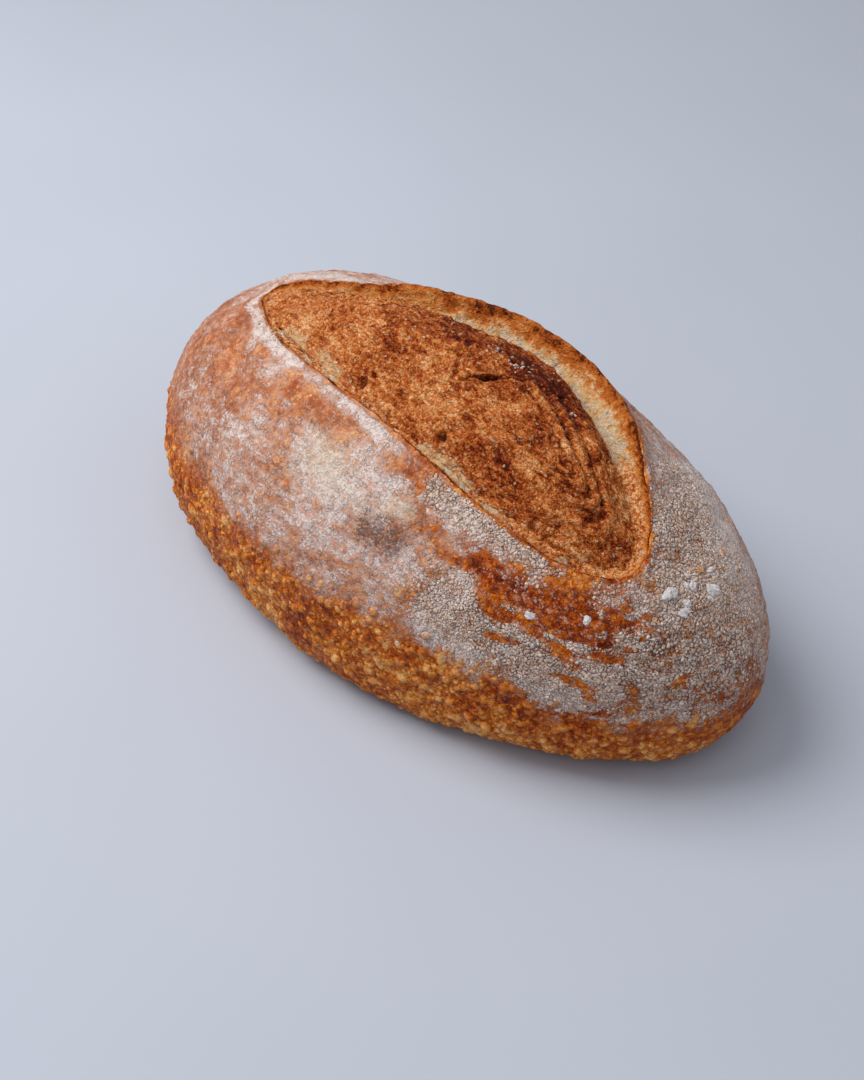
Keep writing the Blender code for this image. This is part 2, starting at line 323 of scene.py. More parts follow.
def edge_sink(x, y):
    """How far the bloom's outermost strip drops below the wall it meets."""
    reach = station_values(x, y)[2]
    return BLOOM_SINK * (1 - smooth((inside_rim(x, y) - BLOOM_TUCK * reach) / (0.5 * reach)))


def column_turns(count):
    """Turns round the girth, evenly along it but closer together on the -Y side."""
    turn = np.linspace(0.0, math.tau, 4000)
    x, y = girth_point(turn)
    weight = np.hypot(np.gradient(x), np.gradient(y)) * (1 - NEAR_SIDE_GAIN * np.sin(turn))
    total = np.concatenate([[0.0], np.cumsum(weight[1:])])
    return np.interp(np.arange(count) / count * total[-1], total, turn)


def mesh_from(bm, name):
    mesh = bpy.data.meshes.new(name)
    bm.to_mesh(mesh)
    bm.free()
    return mesh


def net(name, line, columns, top, bottom):
    """A closed piece: a sphere whose rings and poles are moved to the points of the meridians."""
    rings = len(line(0.0))
    bm = bmesh.new()
    bmesh.ops.create_uvsphere(bm, u_segments=columns, v_segments=rings + 1, radius=1.0)
    bmesh.ops.recalc_face_normals(bm, faces=bm.faces)
    mesh = mesh_from(bm, name)
    place = coordinates(mesh)
    ring = np.rint(np.arccos(np.clip(place[:, 2], -1, 1)) / math.pi * (rings + 1)).astype(int)
    column = np.rint(np.arctan2(place[:, 1], place[:, 0]) / math.tau * columns).astype(int) % columns
    lines = np.array([line(turn) for turn in column_turns(columns)])
    place = lines[column, np.clip(ring - 1, 0, rings - 1)]
    place[ring == 0] = top
    place[ring > rings] = bottom
    move_to(mesh, place)
    mesh.shade_smooth()
    return new_object(name, mesh)


def vectors(mesh, kind):
    """A row for each vertex: where it is for "co", or its way out for "normal"."""
    flat = np.empty(len(mesh.vertices) * 3, np.float32)
    mesh.vertices.foreach_get(kind, flat)
    return flat.reshape(-1, 3).astype(float)


def coordinates(mesh):
    return vectors(mesh, "co")


def normals(mesh):
    return vectors(mesh, "normal")


def move_to(mesh, place):
    mesh.vertices.foreach_set("co", place.astype(np.float32).ravel())
    mesh.update()


def soft(points, size, seed):
    """Smooth noise, from about -1 to 1, with features of a size."""
    shift = Vector((seed * 3.17, seed * 7.31, seed * 1.93))
    return np.array([noise.noise(Vector(p) + shift) for p in (points / size).tolist()])


def cells(points, size, seed):
    """Distance to the nearest of scattered points, against their spacing."""
    shift = Vector((seed * 2.71, seed * 5.13, seed * 4.37))
    return np.array([noise.voronoi(Vector(p) + shift)[0][0] for p in (points / size).tolist()])


def layered(points, *layers, base=0.0):
    """A sum of smooth noises on a base. Each is (strength, size in mm, seed)."""
    return sum((strength * soft(points, size * MM, seed) for strength, size, seed in layers), base)


def cell_domes(points, size, seed, reach):
    """Small domes, one to a cell of a size in mm. reach is the radius of each against that size."""
    return np.clip(reach - cells(points, size * MM, seed), 0, 1)


def lumps(place):
    push = sum(
        high * np.array([noise.noise(Vector(p) / size + LUMP_SEED) for p in place.tolist()])
        for high, size in LUMPS
    )
    return push * smooth(place[:, 2] / FLAT_FOOT)


def centre_shift(place):
    """The step that brings the middle of the loaf's outline to the origin."""
    middle = (place.min(axis=0) + place.max(axis=0)) / 2
    return np.array([-middle[0], -middle[1], 0.0])


def paint(mesh, layers):
    """Writes each named layer of values to the vertices, for the finishes to read."""
    for name, values in layers.items():
        layer = mesh.attributes.new(name, "FLOAT", "POINT")
        layer.data.foreach_set("value", np.asarray(values, np.float32))


def near_segment(place, a, b):
    """Distance of each point from the straight line between two points in millimetres."""
    a, b = np.array(a, float) * MM, np.array(b, float) * MM
    run = b - a
    share = np.clip(((place - a) @ run) / max(float(run @ run), 1e-12), 0.0, 1.0)
    return np.linalg.norm(place - a - share[:, None] * run, axis=1)


def patches(place, spots):
    """The sum of soft patches. Each is x, y, z of one end, then of the other, radius and strength, in mm."""
    total = np.zeros(len(place))
    for *ends, radius, strength in spots:
        total += strength * np.exp(-((near_segment(place, ends[:3], ends[3:]) / (radius * MM)) ** 2))
    return total


def shares(place, spots):
    """The sum of soft patches, held between 0 and 1."""
    return np.clip(patches(place, spots), 0, 1)


# The crust

# The places in the tables below, of patches, spots, laps, pits and small things, were picked in the photo.
# A separate script traced most of them onto the solid, to the millimetre. The rest were set one by one.

# Height of the flour's lower edge along the near flank, in millimetres
FLOUR_EDGE_X = (-148, -110, -68, -32, 29, 49, 70, 87, 102, 118, 143)
FLOUR_EDGE_Z = (50, 56, 58, 54, 52, 52, 51, 46, 40, 34, 32)
FAR_FLOUR_EDGE = 30
FLOUR_FADE = 14  # mm of height over which the flour thins out at its lower edge
FLOUR_SHARE = 0.56  # before the patches and drifts
MOST_FLOUR = 1.3
CRUST_BAKE = 0.43
GOLDEN_FLOUR_LOSS = 0.40
GOLDEN_BAKE_LOSS = 0.22
PINK_BAKE_LOSS = 0.12
# The band of blisters round the foot fades out upwards, in mm of height
BAND_TOP = 46
BAND_FADE = 14

# Soft patches: x, y, z of one end, x, y, z of the other, radius, all in mm, and strength
FLOUR_PATCHES = (
    (0, -56, 89, -12, -55, 90, 12, 0.34), (18, -58, 87, 24, -54, 90, 7, 0.20),
    (-43, -55, 87, -50, -62, 77, 11, 0.26), (-11, -72, 68, 9, -68, 73, 9, 0.16),
    (27, -48, 95, 15, -53, 92, 6, 0.30), (50, -45, 93, 47, -44, 95, 5, 0.36),
    (65, -39, 93, 80, -37, 89, 5, 0.40), (66, -61, 66, 61, -66, 56, 8, 0.42),
    (41, -68, 65, 20, -70, 67, 9, 0.10), (90, -54, 58, 107, -48, 48, 7, 0.38),
    (119, -40, 47, 124, -37, 33, 8, 0.25), (95, 34, 87, 119, 24, 78, 18, 0.52),
    (125, -5, 77, 130, 12, 74, 9, 0.22), (-97, 15, 94, -60, 19, 105, 7, 0.45),
    (-99, -48, 68, -91, -52, 69, 8, 0.15),
)
BARE_PATCHES = (
    (-36, -38, 100, -5, -44, 100, 7, 0.50), (24, -44, 99, 36, -45, 97, 5, 0.50),
    (-92, -19, 91, -79, -38, 87, 9, 0.30), (-77, -46, 83, -67, -54, 80, 8, 0.20),
    (-111, -29, 77, -95, -50, 68, 12, 0.20), (-104, -34, 79, -108, -44, 64, 10, 0.18),
    (-120, -20, 74, -128, -30, 56, 12, 0.18), (42, -49, 92, 59, -51, 84, 5, 0.30),
    (71, -48, 82, 90, -48, 72, 8, 0.36), (84, -45, 79, 104, -38, 73, 9, 0.46),
    (104, -38, 73, 116, -29, 72, 8, 0.46), (106, -28, 81, 95, -34, 84, 6, 0.36),
    (-37, -53, 90, -65, -48, 87, 6, 0.30), (-26, -57, 88, -20, -65, 79, 5, 0.22),
    (94, -54, 54, 100, -50, 56, 5, 0.30), (114, -42, 54, 119, -41, 41, 4, 0.40),
    (31, -71, 62, 46, -70, 58, 7, 0.15), (112, -46, 38, 136, -26, 34, 9, 0.22),
    (143, -12, 46, 147, 6, 42, 9, 0.25),
)
# Small golden domes where the flour is thin: x, y, z and radius in mm
GOLDEN_SPOTS = (
    (-15, -65, 78, 3.2), (2, -65, 78, 2.4), (-1, -74, 65, 2.8), (-10, -68, 73, 2.2), (53, -57, 79, 3.4),
    (13, -66, 76, 2.0), (-32, -38, 101, 3.6), (-102, -31, 82, 3.0), (-43, -36, 100, 2.4), (-2, -47, 97, 2.2),
    (-12, -54, 91, 1.8), (9, -51, 94, 2.4), (47, -66, 68, 2.6), (-62, -50, 86, 2.6), (-68, -31, 95, 2.8),
    (-120, -12, 76, 3.0), (-85, -50, 76, 2.6), (-50, -66, 72, 2.4), (-30, -73, 64, 2.2), (20, -72, 66, 2.2),
)
PINK_PATCHES = (
    (-36, -38, 101, 24, -43, 100, 8, 0.80), (-88, -25, 91, -77, -46, 83, 12, 0.50),
    (32, -70, 64, 46, -67, 67, 9, 0.70), (-18, -67, 76, 11, -68, 72, 12, 0.50),
)
DARK_BAKE_PATCHES = (
    (88, -43, 79, 104, -34, 77, 9, 0.16), (110, -37, 68, 118, -29, 68, 6, 0.24),
    (-97, -14, 91, -90, -26, 90, 6, 0.25), (-125, -5, 72, -100, -45, 70, 22, 0.15),
    (104, -50, 40, 130, -34, 36, 12, 0.14), (143, -12, 46, 147, 6, 42, 12, 0.14),
    (-80, -35, 88, -60, -52, 82, 14, 0.10), (70, -50, 82, 112, -34, 72, 16, 0.10),
    (-36, -38, 100, -5, -44, 100, 6, 0.15), (59, -50, 85, 75, -46, 82, 7, 0.15),
    (91, -57, 44, 113, -45, 37, 8, 0.12),
)
CREAM_PATCHES = (
    (0, -56, 89, -6, -55, 91, 10, 0.90), (30, -55, 88, 36, -52, 90, 4.5, 0.90),
    (18, -58, 86, 20, -59, 85, 4, 0.40),
)
SMUDGE_PATCHES = (
    (26, -63, 79, 35, -61, 79, 6.5, 0.90), (24, -60, 83, 33, -58, 84, 5, 0.45),
    (40, -58, 83, 45, -54, 86, 5, 0.55), (127, -22, 65, 128, -19, 67, 6, 1.00),
    (-111, -29, 77, -103, -35, 79, 4, 0.35),
)
COARSE_PATCHES = (
    (41, -42, 98, 91, -34, 86, 6, 1.00), (61, -61, 69, 84, -53, 68, 11, 0.90),
    (94, -52, 58, 132, -22, 56, 20, 1.00), (111, 0, 89, 140, -2, 57, 24, 0.90),
    (112, 14, 89, 95, 30, 91, 8, 0.60), (-59, -23, 98, -83, -17, 96, 6, 0.30),
)
# Where the flour is left in streaks that run round the loaf
STREAKY_PATCHES = (
    (62, -50, 84, 90, -46, 76, 12, 0.55), (90, -46, 76, 118, -29, 70, 12, 0.75),
    (84, -54, 60, 112, -44, 50, 13, 0.65), (112, -44, 50, 136, -20, 50, 14, 0.45),
    (118, -20, 76, 122, 14, 80, 14, 0.30),
)
CREST_RAGGEDNESS = 1.0 * MM
FAR_OUT = -9.0  # what the rim layer holds where there is no rim near
# Flour rubbed off beside the near rim: its middle and spread in mm from the rim
WORN_AT = 13
WORN_SPREAD = 6


def crest_overhang(x, y, lip):
    """How far the ear's bare baked edge reaches out over the flour, in mm."""
    turn = turn_round(x, y)
    behind = smooth((turn - 22) / 40) * smooth((160 - turn) / 40)
    return 0.5 + 3.6 * behind * np.clip(lip / TALLEST_RIM, 0, 1) ** 0.6


def flour_line(x):
    """Height of the flour's lower edge, in mm."""
    return np.interp(x, FLOUR_EDGE_X, FLOUR_EDGE_Z)


def above_band(z):
    """0 in the band of blisters round the foot, 1 above it, by height in mm."""
    return smooth((z - BAND_TOP) / BAND_FADE)


def golden_domes(place):
    return shares(place, [(*spot[:3], *spot, 1.0) for spot in GOLDEN_SPOTS])


def skin_values(place):
    """What the finish of the crust reads at each point."""
    x, y, z = (place / MM).T
    near = smooth((30 - y) / 50)
    edge = flour_line(x) * near + FAR_FLOUR_EDGE * (1 - near)
    edge += layered(place, (7, 16, 21), (5, 6, 22))
    covered = smooth((z - edge + FLOUR_FADE / 2) / FLOUR_FADE)
    drift = layered(place, (0.14, 19, 23), (0.22, 8, 24), (0.20, 3.5, 25))
    flour = FLOUR_SHARE + drift + patches(place, FLOUR_PATCHES) - patches(place, BARE_PATCHES)
    around = np.arctan2(y / HALF_WIDTH, x / HALF_LENGTH) * HALF_LENGTH
    rings = np.stack([around * 0.2, place[:, 2], np.zeros(len(x))], axis=1)
    streaks = layered(rings, (1.0, 3.4, 26), (0.6, 1.8, 27))
    flour += 0.9 * streaks * np.clip(0.12 + patches(place, STREAKY_PATCHES), 0, 1)
    golden = golden_domes(place)
    flour -= GOLDEN_FLOUR_LOSS * golden
    bake = layered(place, (0.16, 24, 31), (0.2, 9, 32), (0.12, 4, 33), base=CRUST_BAKE)
    pink = shares(place, PINK_PATCHES)
    bake += patches(place, DARK_BAKE_PATCHES) - GOLDEN_BAKE_LOSS * golden - PINK_BAKE_LOSS * pink
    return {
        "flour": np.clip(flour, 0, MOST_FLOUR) * covered,
        "bake": np.clip(bake, 0, 1),
        "coarse": shares(place, COARSE_PATCHES),
        "cream": shares(place, CREAM_PATCHES),
        "smudge": shares(place, SMUDGE_PATCHES),
        "low": 1 - above_band(z),
        "haze": smooth((60 - x) / 50) * above_band(z),
    }


def make_crust():
    top = (*SCORE_CENTRE, float(crust_height(*SCORE_CENTRE)) - HIDDEN_DEPTH)
    obj = net("crust", crust_line, CRUST_COLUMNS, top, (0.0, 0.0, 0.0))
    mesh = obj.data
    flat = coordinates(mesh)
    plan = flat[:, 0], flat[:, 1]
    over = flat[:, 2] > GIRTH_HEIGHT
    inside = inside_rim(*plan) / MM
    lip = station_values(*plan)[0]
    place = flat + normals(mesh) * lumps(flat)[:, None]
    shift = centre_shift(place)
    place += shift

    crest = np.exp(-((inside / 2.0) ** 2)) * over
    ragged = layered(flat, (1.0, 5, 5), (0.7, 2, 6))
    place[:, 2] += CREST_RAGGEDNESS * np.minimum(1.0, lip / (5 * MM)) * crest * ragged
    move_to(mesh, place)
    facing = normals(mesh)

    open_wall = (inside > 0) & over
    upper = smooth(place[:, 2] / (6 * MM))
    coarse = shares(place, COARSE_PATCHES)
    grain = layered(place, (0.45, 5.5, 11), (0.34, 2.6, 12))
    bumps = cell_domes(place, 3.6, 3, 0.55) ** 0.8
    low = 1 - above_band(place[:, 2] / MM)
    grain += bumps * (0.35 + 0.5 * coarse + 0.4 * low) + 0.5 * golden_domes(place)
    torn = layered(place, (0.6, 5, 14), (0.55, 2.3, 15), (0.3, 1.4, 17))
    torn += np.minimum(0.0, soft(place, 3.2 * MM, 16) + 0.12) * 1.8
    relief = np.where(open_wall, torn * smooth(inside / 1.5), grain * upper)
    place += facing * (relief * MM)[:, None]
    place[:, 2] = np.where(flat[:, 2] < 1e-6, 0.0, np.maximum(place[:, 2], 0.0))
    move_to(mesh, place)

    overhang = crest_overhang(*plan, lip)
    values = skin_values(place)
    turn = turn_round(*plan)
    outside = -inside
    far = smooth((turn - 12) / 30) * smooth((186 - turn) / 20)
    beside = (1 - far) * smooth((30 - place[:, 0] / MM) / 25)
    # A white strip along the near rim, and beyond it a zone where the flour is rubbed off
    strip = beside * smooth((outside - 0.4) / 1.2) * (1 - smooth((outside - 4.5) / 3.0))
    worn = beside * np.exp(-(((outside - WORN_AT) / WORN_SPREAD) ** 2))
    worn = worn * smooth(0.5 + 1.5 * soft(place, 13 * MM, 28))
    clear = smooth((outside - overhang - 0.2) / 1.6)
    values["flour"] = np.clip(values["flour"] + 0.50 * strip - 0.28 * worn, 0, MOST_FLOUR) * clear
    pale_far = far * smooth((place[:, 0] / MM + 26) / 14)
    pale_near = (1 - far) * shares(place, BARE_CRUMB_PATCHES)
    values["bumps"] = bumps
    values["rim"] = np.where(over, (inside + overhang) / (1.5 + 1.25 * overhang), FAR_OUT)
    values["crumb"] = np.clip(np.maximum(pale_far, pale_near), 0, 1)
    paint(mesh, values)
    return obj, shift


# The bloom

# Lines in plan where one layer of crumb laps over another: points, groove depth, step height and width, all
# in mm. The layer on the right-hand side of the line, going along it, stands higher.
LAPS = (
    (((21, -13), (26, -7), (32, 0), (40, 6), (48, 12), (52, 20)), 2.4, 1.0, 1.0),
    (((52, 26), (66, 19), (78, 10), (87, -5), (88, -18), (80, -25)), 0.35, 0.6, 0.9),
    (((55, 22), (67, 15), (78, 0), (80, -11)), 0.3, 0.4, 0.8),
    (((66, 22), (77, 15), (89, 6), (94, -5), (94, -14)), 0.3, 0.5, 0.7),
    (((18, -20), (30, -24), (48, -22), (60, -25), (74, -28)), 0.5, 0.6, 1.4),
    (((11, 1), (18, -12), (28, -17)), 0.4, 0.7, 1.4),
    (((-64, 9), (-49, 11), (-16, -9), (-1, -20)), 0.35, 0.5, 1.8),
    (((-39, 14), (-24, 18), (0, 13), (21, 14)), 0.5, 0.8, 1.8),
    (((61, -3), (70, -10), (70, -20)), 0.4, 0.4, 1.3),
)
# The slit: its ends in plan, then half its width, its bend and its depth, in mm
SLIT = ((24, -9), (33, 1))
SLIT_WIDTH = 2.1
SLIT_BEND = 1.4
SLIT_DEPTH = 3.4
BLOOM_BAKE = 0.455
BLOOM_BAKE_SLOPE = 0.0001  # for each mm towards +X
# Pits and pores: x, y, radius and depth in mm
PITS = (
    (-13, -27, 2.2, 1.8), (30, -28, 1.7, 2.0), (33, -33, 2.6, 1.2), (40, -34, 2.2, 1.0),
    (67, -32, 2.6, 1.4), (75, -29, 1.9, 1.2), (83, -25, 2.0, 1.0), (54, -33, 1.1, 1.4),
    (77, -16, 0.9, 1.2), (-11, -23, 1.4, 1.2), (87, 6, 2.0, 1.2), (92, 0, 1.7, 1.0),
    (-36, -24, 1.2, 0.8), (48, -32, 1.0, 1.0), (61, -30, 1.2, 0.9),
)
BLOOM_DARK = (
    (-45, 13, 108, -14, 20, 108, 10, 0.38), (-6, 9, 117, 54, 12, 109, 10, 0.32),
    (26, 17, 114, 72, 14, 97, 8, 0.25), (35, 4, 117, 48, 13, 111, 6, 0.14),
    (41, -23, 108, 66, -24, 101, 6, 0.18), (61, -5, 111, 80, -12, 102, 9, 0.16),
    (88, -14, 97, 99, -12, 91, 5, 0.22), (-28, -5, 117, -12, -13, 115, 5, 0.14),
    (24, -12, 116, 35, -18, 111, 4, 0.12),
)
BLOOM_PALE = (
    (-93, -1, 94, -71, -12, 100, 9, 0.12), (-71, -12, 100, -30, -20, 108, 8, 0.05),
    (11, -18, 112, 41, -19, 110, 8, 0.08), (66, -20, 103, 79, -19, 99, 5, 0.10),
    (75, 17, 100, 90, 2, 94, 4, 0.26), (90, 2, 94, 96, -12, 93, 3, 0.20),
    (-79, -1, 100, -73, 6, 101, 3, 0.15),
)
BARE_CRUMB_PATCHES = (
    (-67, -18, 98, -25, -28, 103, 3.5, 0.95), (-25, -28, 103, 10, -33, 103, 2.5, 0.35),
    (27, -34, 101, 46, -35, 98, 4.0, 0.95), (60, -34, 95, 66, -33, 93, 3.0, 0.50),
    (104, -22, 88, 107, -8, 88, 3.0, 0.35),
)


def near_line(x, y, points):
    """Signed distance from a line of plan points in mm, above 0 on its right, and how far along it lies."""
    best, side, at = np.full(len(x), 1e9), np.zeros(len(x)), np.zeros(len(x))
    for i, ((ax, ay), (bx, by)) in enumerate(zip(points, points[1:])):
        dx, dy = bx - ax, by - ay
        share = np.clip(((x - ax) * dx + (y - ay) * dy) / (dx * dx + dy * dy), 0, 1)
        away = np.hypot(x - ax - share * dx, y - ay - share * dy)
        closer = away < best
        turn = np.sign((y - ay) * dx - (x - ax) * dy)
        best = np.where(closer, away, best)
        side = np.where(closer, -turn, side)
        at = np.where(closer, (i + share) / (len(points) - 1), at)
    return best * side, at


def lap_relief(x, y, drift):
    """Height in mm that the laps add, and the painted shade in their grooves."""
    rise, groove_shade = np.zeros(len(x)), np.zeros(len(x))
    for points, depth, step, width in LAPS:
        away, at = near_line(x + 1.4 * drift, y - 1.2 * drift, points)
        ends = smooth(at / 0.18) * smooth((1 - at) / 0.18)
        groove = np.exp(-(((away + 0.6 * width) / (0.55 * width)) ** 2))
        layer = smooth((away + 0.4 * width) / (0.9 * width)) * np.exp(-np.maximum(away, 0) / 7)
        rise += ends * (step * layer - depth * groove)
        # Painted shade: each groove is darkened, the deeper grooves more.
        groove_shade += ends * np.clip(0.15 + depth / 2.5, 0, 1) * groove
    return rise, groove_shade


def make_bloom(shift):
    centre_z = float(crust_height(*SCORE_CENTRE))
    peak = float(bloom_height(*SCORE_CENTRE))
    top = (*SCORE_CENTRE, centre_z + peak)
    bottom = (*SCORE_CENTRE, centre_z + BLOOM_DOME - BLOOM_THICKNESS)
    obj = net("bloom", bloom_line, BLOOM_COLUMNS, top, bottom)
    mesh = obj.data
    flat = coordinates(mesh)
    plan = flat[:, 0], flat[:, 1]
    place = flat + normals(mesh) * lumps(flat)[:, None] + shift
    move_to(mesh, place)

    x, y = place[:, 0] / MM, place[:, 1] / MM
    inside = inside_rim(*plan) / MM
    reach = station_values(*plan)[2] / MM
    body = smooth((inside - 0.9 * reach) / 2.5)
    stretched = place * np.array([0.6, 1.0, 1.0])
    warp = soft(place, 9 * MM, 41)
    lap, lap_shade = lap_relief(x, y, warp)
    at, across = plan_axes(x, y, *SLIT)
    slit = smooth((SLIT_WIDTH * (1 - at**2) - np.abs(across + SLIT_BEND * at**2)) / 0.9)
    coarse = soft(stretched, 13 * MM, 42) + 0.8 * (0.35 - np.abs(soft(stretched, 7 * MM, 43))) * 1.6
    ridged = 0.35 - np.abs(soft(stretched, 3.2 * MM, 44))
    fine = 1.2 * ridged + 0.30 * soft(place, 1.5 * MM, 45)
    beads = cell_domes(place, 1.9, 7, 0.55)
    domes = cell_domes(place, 3.6, 8, 0.60) ** 0.8
    few = smooth((soft(place, 11 * MM, 46) + 0.05) / 0.35)
    pit = np.zeros(len(x))
    for px, py, radius, depth in PITS:
        away = np.hypot(x - px + 0.7 * warp, y - py - 0.6 * warp) / radius
        pit = np.maximum(pit, depth * np.exp(-(away**4)))
    pit = np.maximum(pit, SLIT_DEPTH * slit)
    relief = body * (coarse + 0.8 * domes * few + 0.7 * beads) + fine * (0.4 + 0.6 * body) + lap * body - pit
    ragged_edge = (1 - body) * layered(place, (1.0, 6, 47), (0.8, 2.5, 48))
    place = place + normals(mesh) * ((relief + ragged_edge) * MM)[:, None]
    move_to(mesh, place)

    drift = 0.16 * soft(place, 14 * MM, 51) + 0.16 * soft(stretched, 5 * MM, 52)
    drift += 0.1 * soft(place, 2.2 * MM, 53)
    slope = BLOOM_BAKE_SLOPE * (x - 10) + BLOOM_BAKE
    wave = folds(*plan, inside * MM) / FOLD_HEIGHT
    bake = slope + drift + patches(place, BLOOM_DARK) - patches(place, BLOOM_PALE)
    bake = bake - 0.30 * fine - 0.13 * wave
    crumb = patches(place, BARE_CRUMB_PATCHES) + 0.5 * layered(place, (1.0, 5, 54), (0.4, 2.5, 55))
    paint(mesh, {
        "bake": np.clip(bake, 0, 1.1),
        "beads": np.clip(beads * 1.8, 0, 1),
        # Painted shade in the laps' grooves and in the deeper pits and the slit.
        "crevice": np.clip(lap_shade + 0.45 * pit * (pit > 0.3), 0, 1.2),
        "crumb": np.clip(crumb, 0, 1),
    })
    return obj


def plan_axes(x, y, start, stop):
    """Where a point lies along a plan line, from -1 to 1 at its ends, and its distance across it in mm."""
    run = np.array(stop, float) - start
    length = float(np.hypot(*run))
    along = ((x - start[0]) * run[0] + (y - start[1]) * run[1]) / length
    across = ((x - start[0]) * run[1] - (y - start[1]) * run[0]) / length
    return 2 * along / length - 1, across


# Blisters, grains, lumps and flakes

SMALL_BLISTERS = 1150
SMALL_BLISTER_SEED = 77
# Single blisters that stand out: x, y, z and radius in mm
LONE_BLISTERS = (
    (122, 6, 80, 2.2), (125, 15, 77, 1.9), (121, 21, 78, 1.7), (130, -2, 74, 1.7), (115, 1, 85, 1.4),
    (118, 11, 82, 1.3), (133, 9, 70, 1.6), (127, 23, 72, 1.5), (53, -71, 30, 3.4), (38, -75, 36, 2.1),
    (72, -66, 28, 2.6), (79, -63, 23, 2.8), (89, -57, 16, 2.3), (21, -78, 31, 2.0), (59, -69, 20, 2.4),
    (30, -76, 18, 2.6), (-4, -80, 41, 1.9),
)
BLISTER_SHAPE_SEED = 5
GRAINS = 3300  # at most in each piece, the few on the bloom aside
GRAIN_SEED = 19
GRAIN_SUNK = 0.30
# Where a little flour or crumb is left on the bloom: x, y and z in mm, spread, count
REMNANTS = (
    (21, 8, 119, 2.8, 16), (32, 10, 116, 2.6, 14), (27, 7, 118, 3.5, 6), (-13, 27, 115, 3.0, 5),
    (57, 10, 109, 2.0, 4), (-24, -8, 116, 1.2, 3),
)


def blister_spots():
    """(turn round the girth, height, radius) of each of the large blisters that the solid has too."""
    draw = random.Random(BLISTER_SEED)
    spots = []
    while len(spots) < BLISTER_COUNT:
        share = len(spots) / BLISTER_COUNT
        radius = BLISTER_RADII[1] + (BLISTER_RADII[0] - BLISTER_RADII[1]) * math.sqrt(share)
        turn = draw.uniform(*BLISTER_ARC)
        height = draw.uniform(*BLISTER_HEIGHTS)
        across = [HALF_LENGTH * (math.cos(turn) - math.cos(t)) for t, _, _ in spots]
        clear = [math.hypot(a, height - h) > 1.15 * (radius + r) for a, (_, h, r) in zip(across, spots)]
        if all(clear):
            spots.append((turn, height, radius))
    return spots


def small_blister_spots():
    """(turn, height, radius) of the many small blisters below the flour's edge."""
    draw = random.Random(SMALL_BLISTER_SEED)
    spots = []
    for _ in range(SMALL_BLISTERS):
        turn = draw.triangular(math.radians(190), math.radians(350), math.radians(305))
        top = float(flour_line(HALF_LENGTH / MM * math.cos(turn))) + 4
        height = (3 + (top - 3) * draw.random() ** 1.15) * MM
        radius = (0.9 + 1.9 * draw.random() ** 2.2) * MM
        spots.append((turn, height, radius))
    return spots


def new_object(name, mesh):
    obj = bpy.data.objects.new(name, mesh)
    bpy.context.scene.collection.objects.link(obj)
    return obj


def surface_of(obj):
    return BVHTree.FromPolygons(
        coordinates(obj.data).tolist(), [tuple(p.vertices) for p in obj.data.polygons]
    )


def side_ways(facing):
    """Two directions along the surface for each direction out of it."""
    helper = np.where(np.abs(facing[:, 2:3]) < 0.9, [[0.0, 0.0, 1.0]], [[1.0, 0.0, 0.0]])
    first = np.cross(helper, facing)
    first /= np.linalg.norm(first, axis=1)[:, None]
    return first, np.cross(facing, first)


def copies(name, places, facing, sizes, segments, rings, sunk, seed, roughness):
    """Many small domes as one piece. sizes holds each one's length, width and height. sunk is the share of
    its height that its middle lies under the surface."""
    bm = bmesh.new()
    bmesh.ops.create_uvsphere(bm, u_segments=segments, v_segments=rings, radius=1.0)
    mesh = mesh_from(bm, name)
    one = coordinates(mesh)
    obj = new_object(name, mesh)
    rows = obj.modifiers.new("rows", "ARRAY")
    rows.count = len(places)
    rows.use_relative_offset = False
    graph = bpy.context.evaluated_depsgraph_get()
    obj.data = bpy.data.meshes.new_from_object(obj.evaluated_get(graph))
    obj.modifiers.clear()
    draw = np.random.default_rng(seed)
    first, second = side_ways(facing)
    turn = draw.uniform(0, math.tau, len(places))[:, None]
    along = first * np.cos(turn) + second * np.sin(turn)
    over = second * np.cos(turn) - first * np.sin(turn)
    jitter = 1 + roughness * draw.uniform(-1, 1, (len(places), len(one), 1))
    shape = one[None] * jitter * sizes[:, None, :]
    middles = places - facing * sizes[:, 2:3] * sunk
    ways = along, over, facing
    spots = middles[:, None] + sum(shape[:, :, i : i + 1] * way[:, None] for i, way in enumerate(ways))
    move_to(obj.data, spots.reshape(-1, 3))
    obj.data.shade_smooth()
    luck = np.repeat(draw.random(len(places)), len(one))
    paint(obj.data, {"luck": luck, "crown": np.tile(one[:, 2], len(places))})
    return obj


def on_flank(tree, turn, height):
    gx, gy = girth_point(turn)
    aim = Vector((gx, gy, 0.0)).normalized()
    return tree.ray_cast(aim * HALF_LENGTH * 2 + Vector((0, 0, height)), -aim)[:2]


def make_blisters(tree):
    draw = random.Random(BLISTER_SHAPE_SEED)
    places, facing, sizes = [], [], []
    spots = [(on_flank(tree, t, h), r, BLISTER_RISE) for t, h, r in blister_spots()]
    spots += [(on_flank(tree, t, h), r, draw.uniform(0.32, 0.50)) for t, h, r in small_blister_spots()]
    spots += [(tree.find_nearest(Vector(b[:3]) * MM)[:2], b[3] * MM, 0.36) for b in LONE_BLISTERS]
    for (place, normal), radius, rise in spots:
        if place is None:
            continue
        places.append(place)
        facing.append(normal)
        # The part that shows above the surface has the radius and the rise
        wide = radius / math.sqrt(1 - BLISTER_SUNK**2)
        sizes.append((wide, wide * draw.uniform(0.72, 1.0), radius * rise / (1 - BLISTER_SUNK)))
    made = copies(
        "blisters", np.array(places), np.array(facing), np.array(sizes),
        segments=10, rings=6, sunk=BLISTER_SUNK, seed=6, roughness=0.05,
    )
    place, crown = coordinates(made.data), values_of(made.data, "crown")
    top = smooth((crown - BLISTER_SUNK) / (1 - BLISTER_SUNK))
    values = skin_values(place)
    values["flour"] *= 1 - 0.8 * top
    values["bumps"] = 0.2 + 0.35 * top
    values["rim"] = np.full(len(place), FAR_OUT)
    values["top"] = top
    paint(made.data, values)
    return made


def values_of(mesh, name):
    values = np.empty(len(mesh.vertices), np.float32)
    mesh.attributes[name].data.foreach_get("value", values)
    return values.astype(float)


